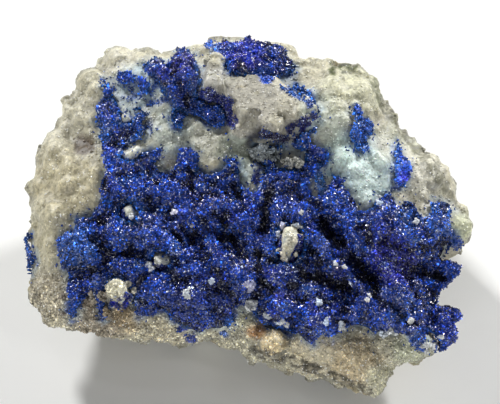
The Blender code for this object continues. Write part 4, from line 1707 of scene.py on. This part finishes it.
FILMS = (
    Film((8.5, -4.2), (8.2, -9.4), 1.5, "#1E2C86", 1.3),
    Film((7.8, -7.4), (6.9, -9.9), 1.5, "#1A2678", 1.3),
    Film((4.5, -5.2), (4.6, -9.8), 0.8, "#1E2C86", 1.3),
    Film((4.6, -3.6), (5.6, -3.4), 0.8, "#1E2C86", 1.3),
    Film((-15.4, -10.5), (-13.2, -10.5), 1.0, "#1A2474", 1.3),
    Film((-15.6, -8.8), (-15.5, -10.2), 0.8, "#1A2474", 1.3),
    Film((-20.4, -0.9), (-20.3, -2.6), 1.0, "#213192", 1.3),
    Film((-19.8, -2.8), (-18.6, -2.9), 0.7, "#213192", 1.3),
    Film((-19.4, -14.8), (-19.8, -16.4), 0.9, "#213192", 1.3),
    Film((-21.6, -15.8), (-21.0, -16.4), 0.8, "#213192", 1.2),
    Film((-7.4, 17.2), (-3.4, 15.6), 1.5, "#213192", 1.1),
    Film((-3.6, 15.8), (-2.6, 12.6), 1.5, "#1E2980", 1.1),
    Film((26.0, -22.0), (27.2, -22.8), 1.5, "#2E5EBF", 1.1),
    Film((29.6, -22.4), (30.6, -24.6), 1.5, "#3169C8", 1.1),
    Film((10.6, 4.6), (11.6, 1.6), 1.4, "#3470BC", 1.0),
    Film((1.2, 7.2), (1.0, 3.4), 1.0, "#1F2E7A", 1.1),
    Film((31.0, -5.6), (33.2, -6.8), 1.6, "#2E58B8", 1.1),
    Film((-10.8, -20.2), (-9.4, -20.8), 1.3, "#2646B0", 1.1),
    # Blue film under the ledge, painted dark as painted shade in the hollow there.
    Film((8.6, 12.6), (7.4, 10.6), 1.5, "#22267A", 1.2),
    Film((-20.6, -15.0), (-20.2, -17.0), 0.8, "#21317A", 1.0),
    Film((-20.0, 18.5), (-15.0, 17.0), 4.0, "#3A60AC", 0.75),
    Film((-17.5, 13.5), (-15.5, 12.0), 2.8, "#3A60AC", 0.6),
    Film((-12.5, 17.0), (-11.5, 13.5), 1.8, "#3A60AC", 0.75),
    Film((5.4, 18.1), (9.2, 16.2), 1.0, "#2E68C3", 0.95),
    Film((9.2, 16.2), (10.2, 13.6), 0.9, "#2857BB", 1.0),
    # The next two films are blue growth under the ledge, painted near black as painted shade in
    # the hollow.
    Film((10.0, 13.4), (6.4, 11.6), 1.4, "#22256A", 1.1),
    Film((2.0, 11.0), (6.0, 9.8), 1.1, "#24224F", 1.1),
    Film((2.2, 20.2), (2.6, 19.6), 1.9, "#416FE4", 1.0),
    Film((-6.4, 25.2), (-5.4, 24.6), 1.5, "#2E73E4", 1.0),
    Film((-6.6, 17.6), (-3.6, 13.4), 1.2, "#1F287A", 1.0),
    Film((12.6, 3.6), (13.4, 4.4), 2.2, "#569BBF", 0.5),
    Film((12.0, -21.6), (13.0, -22.0), 1.6, "#3A69BF", 0.7),
    Film((-9.2, -21.6), (-9.4, -21.9), 1.2, "#2746AE", 1.0),
    Film((-4.2, -20.8), (-3.8, -20.6), 1.4, "#346FC8", 0.9),
    Film((29.5, -24.2), (30.6, -24.0), 1.2, "#55A0C8", 0.9),
)
# Bare broken rock along the edges; its dark grey is partly painted shade on the downward and side
# rims.
SHADED_BROKEN_STRIPS = (
    Film((0.6, -23.7), (8.0, -25.5), 1.7, "#6E6A5E", 1.0),
    Film((8.0, -25.5), (18.4, -30.0), 1.7, "#716C5E", 1.0),
    Film((13.6, 21.4), (16.4, 22.4), 2.2, "#757A58", 1.1),
    Film((19.6, 20.6), (21.6, 15.5), 1.8, "#9A9C80", 1.0),
    Film((21.6, 15.5), (27.8, 7.4), 1.8, "#979680", 1.0),
    Film((27.8, 7.4), (32.4, 0.5), 1.8, "#A09E8C", 1.0),
)


@dataclass
class CrystalField:
    """Small crystals that stand on the quartz or on the crusts.

    Attributes:
        habit: Their form.
        seed: Of the random choices.
        count: How many there are.
        size: A usual crystal's size.
        spread: How much their lengths differ.
        lengths: The least and most length, in shares of the size.
        thickness: The least and most thickness, in shares of the width.
        lean: About how far they lean away from the surface's own direction.
        glint_strength: How far a painted glint is painted towards its pale colour, at least and at
            most.
        glint_length: How long a painted glint is beside the others.
    """

    habit: Habit
    seed: int
    count: int
    size: float
    spread: float = 0.3
    lengths: tuple[float, float] = (0.5, 1.6)
    thickness: tuple[float, float] = (0.5, 1.0)
    lean: float = 0.6
    glint_strength: tuple[float, float] = (0.3, 1.1)
    glint_length: float = 0.75

    def __post_init__(self) -> None:
        """Starts the field's own random choices."""
        self.chance = np.random.default_rng(self.seed)

    def outward(self, shape: Shape, chosen: np.ndarray) -> np.ndarray:
        """Finds the directions that crystals grow in.

        Args:
            shape: What they grow on.
            chosen: The triangle that each stands on.

        Returns:
            A unit direction for each crystal.
        """
        normals, _ = shape.face_normals()
        lean = normals[chosen] + self.chance.normal(size=(len(chosen), 3)) * self.lean
        return lean / np.linalg.norm(lean, axis=1)[:, None]

    def grow(
        self,
        shape: Shape,
        weight: np.ndarray,
        tones: np.ndarray,
        contrast: np.ndarray | float,
        sparkle: np.ndarray | float,
    ) -> tuple[Shape, np.ndarray]:
        """Grows the crystals over a shape.

        Args:
            shape: What they grow on.
            weight: How thickly, at each point.
            tones: The colours of what they grow on, at each point.
            contrast: How much their tones differ, at each point or everywhere.
            sparkle: How many of them are painted pale as painted glints, 1 being usual, likewise.

        Returns:
            The crystals' shape and colours.
        """
        count, habit = self.count, self.habit
        contrast = np.broadcast_to(contrast, len(weight))
        sparkle = np.broadcast_to(sparkle, len(weight))
        roots, chosen, shares = scatter(shape, weight, count, self.chance)
        own = (tones[shape.faces[chosen]] * shares[:, :, None]).sum(axis=1)
        differ = (contrast[shape.faces[chosen]] * shares).sum(axis=1)[:, None]
        own *= np.exp(differ * self.chance.normal(size=(count, 1)))
        # Painted glints: some crystals are painted pale, standing in for highlights.
        share = habit.glint_share() * (sparkle[shape.faces[chosen]] * shares).sum(axis=1)
        pale = self.chance.random(count) < share
        glint_paint = self.chance.uniform(*self.glint_strength, (count, 1)) * pale[:, None]
        own += (linear(habit.glint_colour()) - own) * glint_paint
        length = np.clip(self.chance.lognormal(0.0, self.spread, count), *self.lengths)
        length = self.size * length * np.where(pale, self.glint_length, 1.0)
        width = length * self.chance.uniform(*habit.slimness(), count)
        thick = width * self.chance.uniform(*self.thickness, count)
        sizes = np.stack([width, thick, length], axis=1)
        growth = Growth(roots, self.outward(shape, chosen), sizes, own)
        return crystals(habit, growth, self.chance)


@dataclass
class QuartzIslands:
    """The clumps of quartz that stand on the blue crusts.

    Attributes:
        voxel: Width of the mesh's faces.
        small: A clump of fewer nodules than this is crowded more.
        crowding: How much more.
        lump: Width of a lump on a nodule.
        jitter: How far points stray, which gives the sugary roughness.
        seed: Of the random choices.
    """

    voxel: float = 0.16
    small: int = 10
    crowding: float = 1.8
    lump: float = 0.42
    jitter: float = 0.06
    seed: int = 91

    def build(self, ground: Front) -> tuple[Shape, np.ndarray]:
        """Makes the clumps.

        Args:
            ground: What they stand on.

        Returns:
            Their shape, and a linear colour for each of its points.
        """
        chance = np.random.default_rng(self.seed)
        centres, radii, colours = [], [], []
        for island in ISLANDS:
            more = self.crowding if island.count < self.small else 1.0
            for _ in range(round(island.count * more)):
                turn, reach = chance.random() * 2.0 * math.pi, math.sqrt(chance.random())
                u = island.u + island.wide * reach * math.cos(turn)
                v = island.v + island.tall * reach * math.sin(turn)
                narrowest = min(island.wide, island.tall, 1.1)
                radii.append(chance.uniform(0.1, 0.32) + 0.08 * narrowest)
                place, _ = ground.meet(u, v)
                centres.append(place + FACE_W * (0.15 + chance.uniform(0.0, 0.6)))
                colours.append(linear(island.colour))
        nodules = Nodules(np.array(centres), np.array(radii))
        shape = refined(bpy.data.meshes.new("working_copy"), self.voxel, 1, nodules)
        at = shape.places
        lumpy = 0.3 * lumps(at, self.lump, 93) - 0.14
        shape.places = at + shape.normals() * lumpy[:, None]
        shape.places += chance.normal(size=at.shape) * self.jitter
        tree = search_tree(nodules.centres)
        tones = np.array([colours[tree.find(place)[1]] for place in at])
        cool = smooth_step(0.0, 0.6, layered_noise(at, 3.0, 95, 2))
        tones += (tones * np.array([0.75, 0.87, 1.1]) - tones) * cool[:, None]
        return shape, tones


class Specimen:
    """The rock, its crusts and the small crystals that stand on them."""

    def __init__(self) -> None:
        """Makes the finishes, the rock and the crusts."""
        self.quartz = DrusyQuartz().build()
        self.sugar = DrusyQuartz(
            name="quartz_grains", glow=0.0, sugar=0.01, roughness=0.12
        ).build()
        self.linarite = LinariteDruse().build()
        nodes = [row[0] for row in CRUSTS]
        blue = Front(*nodes)
        self.ground = Front("quartz_matrix", *nodes)
        self.matrix = QuartzMatrix(blue)
        self.distance, self.hidden = self.matrix.stain(blue)
        self.crusts = [
            LinariteCrust(*row, FIRST_CRUST_SALT + number) for number, row in enumerate(CRUSTS)
        ]

    def show_rock(self) -> None:
        """Adds the rock, with its unbroken coat shaded smooth."""
        matrix = self.matrix
        rock = add_piece("quartz_rock", matrix.shape, matrix.tones, self.quartz)
        grown = (matrix.front > 0.5) & (matrix.rough < 0.5)
        rock.data.polygons.foreach_set("use_smooth", grown[matrix.shape.faces].all(axis=1))
        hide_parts("quartz_matrix")

    def show_crusts(self) -> None:
        """Colours the crusts and adds each; they are painted darker, as painted shade in the gaps
        between the blades that stand out on them.
        """
        shown = ~self.hidden & (self.matrix.front > 0.5)
        exposed = search_tree(self.matrix.shape.places[shown])
        for crust in self.crusts:
            crust.dress(exposed)
            name = crust.node.replace("linarite", "blue")
            # Painted shade: the crust under the blades is painted 0.6 times darker.
            piece = add_piece(name, crust.shape, 0.6 * crust.tones, self.linarite)
            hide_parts(crust.node)

    def strew_grains(self) -> None:
        """Strews sugary grains over the quartz that shows, thickest on the rough edge."""
        matrix = self.matrix
        level = smooth_step(0.55, 0.85, matrix.shape.normals() @ FACE_W)
        weight = matrix.front * matrix.raised * ~self.hidden
        weight = weight * (0.18 * level + (1.0 - 0.18 * level) * matrix.rough)
        grains = CrystalField(Habit.QUARTZ_GRAIN, seed=71, count=10000, size=0.23)
        # Painted light: the grains are painted 1.12 times lighter than the coat, making up for the
        # inner glow that they lack.
        shape, tones = grains.grow(
            matrix.shape,
            weight,
            1.12 * matrix.tones,
            contrast=0.05 + 0.38 * matrix.rough,
            sparkle=26.0 - 20.0 * matrix.rough,
        )
        add_piece("quartz_grains", shape, tones, self.sugar)

    def grow_main_druse(self) -> None:
        """Grows blades on the main crust, in a left and a right half."""
        crust = self.crusts[0]
        left = smooth_step(1.0, -1.0, face_coordinates(crust.shape.places)[:, 0])
        for side, share, seed in (("left", left, 73), ("right", 1.0 - left, 74)):
            blades = CrystalField(Habit.LINARITE_BLADE, seed=seed, count=15500, size=0.285)
            shape, tones = blades.grow(
                crust.shape,
                crust.front * share,
                0.95 * crust.tones,
                contrast=0.75,
                sparkle=crust.sparkle,
            )
            add_piece(f"linarite_druse_{side}", shape, tones, self.linarite)

    def grow_upper_druse(self) -> None:
        """Grows blades on the smaller crusts, all in one piece."""
        crusts = self.crusts[1:]
        starts = np.cumsum([0] + [len(crust.shape.places) for crust in crusts])
        ground = Shape(
            np.concatenate([crust.shape.places for crust in crusts]),
            np.concatenate([crust.shape.faces + at for crust, at in zip(crusts, starts)]),
        )
        blades = CrystalField(Habit.LINARITE_BLADE, seed=75, count=6500, size=0.29)
        shape, tones = blades.grow(
            ground,
            np.concatenate([crust.front for crust in crusts]),
            np.concatenate([crust.tones for crust in crusts]),
            contrast=0.45,
            sparkle=np.concatenate([crust.sparkle for crust in crusts]),
        )
        add_piece("linarite_druse_upper", shape, tones, self.linarite)

    def strew_strays(self) -> None:
        """Strews blades over the thin blue films and round the crusts' edges."""
        matrix = self.matrix
        face = face_coordinates(matrix.shape.places)
        uneven = layered_noise(matrix.shape.places, 1.3, 35, 3)
        weight = 0.3 * np.exp(-self.distance / 0.4)
        colours = np.tile(linear("#2C55A8"), (len(face), 1))
        for film in FILMS:
            share = film.share(face, uneven)
            weight = weight + share
            colours += (linear(film.colour) - colours) * np.minimum(share, 1.0)[:, None]
        weight = weight * matrix.front * matrix.raised * ~self.hidden
        blades = CrystalField(Habit.LINARITE_BLADE, seed=77, count=4200, size=0.27)
        shape, tones = blades.grow(matrix.shape, weight, colours, contrast=0.4, sparkle=0.4)
        add_piece("linarite_strays", shape, tones, self.linarite)

    def set_islands(self) -> None:
        """Sets the clumps of quartz on the blue, with grains on them."""
        clumps, tones = QuartzIslands().build(self.ground)
        add_piece("quartz_islands", clumps, tones, self.quartz)
        facing = smooth_step(-0.2, 0.3, clumps.normals() @ FACE_W)
        grains = CrystalField(Habit.QUARTZ_GRAIN, seed=79, count=3600, size=0.25)
        shape, tones = grains.grow(clumps, facing, tones, contrast=0.16, sparkle=2.0)
        add_piece("quartz_island_grains", shape, tones, self.sugar)


@dataclass(frozen=True)
class SoftLight:
    """A round soft light that points at the specimen.

    Attributes:
        name: The light's name.
        direction: From the specimen to the light.
        width: Its width in metres.
        watts: Its power.
    """

    name: str
    direction: tuple[float, float, float]
    width: float
    watts: float


LIGHTS = (
    SoftLight("left_softbox", (-0.78, 1.15, 1.0), 0.17, 12.9),
    SoftLight("right_softbox", (1.55, 1.55, 1.08), 0.17, 12.9),
    SoftLight("ceiling", (0.0, -0.4, 1.0), 1.5, 1.0),
    SoftLight("front_fill", (-0.2, -1.0, 0.36), 1.0, 6.3),
    SoftLight("panel_1", (-0.8, -0.6, 1.0), 0.04, 0.32),
    SoftLight("panel_2", (0.9, -0.5, 1.0), 0.04, 0.32),
    SoftLight("panel_3", (-0.3, 0.2, 1.0), 0.04, 0.32),
    SoftLight("panel_4", (0.4, -0.2, 1.0), 0.04, 0.32),
    SoftLight("panel_5", (-0.5, -1.2, 0.8), 0.04, 0.32),
    SoftLight("panel_6", (0.6, -1.1, 0.7), 0.04, 0.32),
)


@dataclass
class Studio:
    """The paper that the specimen lies on, the lights and the camera.

    Attributes:
        camera_distance: From the face to the lens.
        frame_width: Width of what the camera sees at the face.
        sensor_width: Of the camera.
        light_distance: From the specimen to each light, in metres.
        paper_reach: From the specimen to the paper's edge, in metres.
        room_light: Strength of the light that comes from all round.
    """

    camera_distance: float = 900.0
    frame_width: float = 80.0
    sensor_width: float = 36.0
    light_distance: float = 1.2
    paper_reach: float = 3.0
    room_light: float = 0.02

    def lay_paper(self) -> None:
        """Lays a wide sheet of white paper under the specimen."""
        half = self.paper_reach
        mesh = bpy.data.meshes.new("paper")
        mesh.from_pydata(
            [(-half, -half, 0.0), (half, -half, 0.0), (half, half, 0.0), (-half, half, 0.0)],
            [],
            [(0, 1, 2, 3)],
        )
        mesh.materials.append(SweepPaper().build())
        paper = bpy.data.objects.new("paper", mesh)
        bpy.context.scene.collection.objects.link(paper)

    def hang(self, light: SoftLight) -> None:
        """Hangs a light.

        Args:
            light: Where it hangs, its width and its power.
        """
        lamp = bpy.data.lights.new(light.name, "AREA")
        lamp.shape = "DISK"
        lamp.size = light.width
        lamp.energy = light.watts
        holder = bpy.data.objects.new(light.name, lamp)
        away = Vector(light.direction).normalized()
        holder.location = away * self.light_distance
        holder.rotation_euler = away.to_track_quat("Z", "Y").to_euler()
        bpy.context.scene.collection.objects.link(holder)

    def light(self) -> None:
        """Hangs the lights and sets the room's own soft light."""
        for light in LIGHTS:
            self.hang(light)
        world = bpy.data.worlds.new("white_room")
        world.use_nodes = True
        room = world.node_tree.nodes["Background"]
        room.inputs["Color"].default_value = (1.0, 1.0, 1.0, 1.0)
        room.inputs["Strength"].default_value = self.room_light
        bpy.context.scene.world = world
        bpy.context.scene.view_settings.view_transform = "Standard"

    def set_camera(self) -> None:
        """Sets the camera square on to the face."""
        lens = bpy.data.cameras.new("camera")
        lens.sensor_width = self.sensor_width
        lens.lens = self.sensor_width * self.camera_distance / self.frame_width
        lens.clip_start = 0.05
        lens.clip_end = 20.0
        camera = bpy.data.objects.new("camera", lens)
        across, up, back = Vector(FACE_U), Vector(FACE_V), Vector(FACE_W)
        turn = Matrix((across, up, back)).transposed().to_4x4()
        place = Vector(FACE_ORIGIN * MM) + back * self.camera_distance * MM
        camera.matrix_world = Matrix.Translation(place) @ turn
        bpy.context.scene.collection.objects.link(camera)
        bpy.context.scene.camera = camera


def main() -> None:
    """Builds the studio, the rock, the crusts and the small crystals."""
    logging.basicConfig(level=logging.INFO, format="%(name)s: %(message)s")
    studio = Studio()
    studio.set_camera()
    studio.lay_paper()
    studio.light()

    specimen = Specimen()
    specimen.show_rock()
    specimen.show_crusts()
    specimen.strew_grains()
    specimen.grow_main_druse()
    specimen.grow_upper_druse()
    specimen.strew_strays()
    specimen.set_islands()


if __name__ == "__main__":
    main()
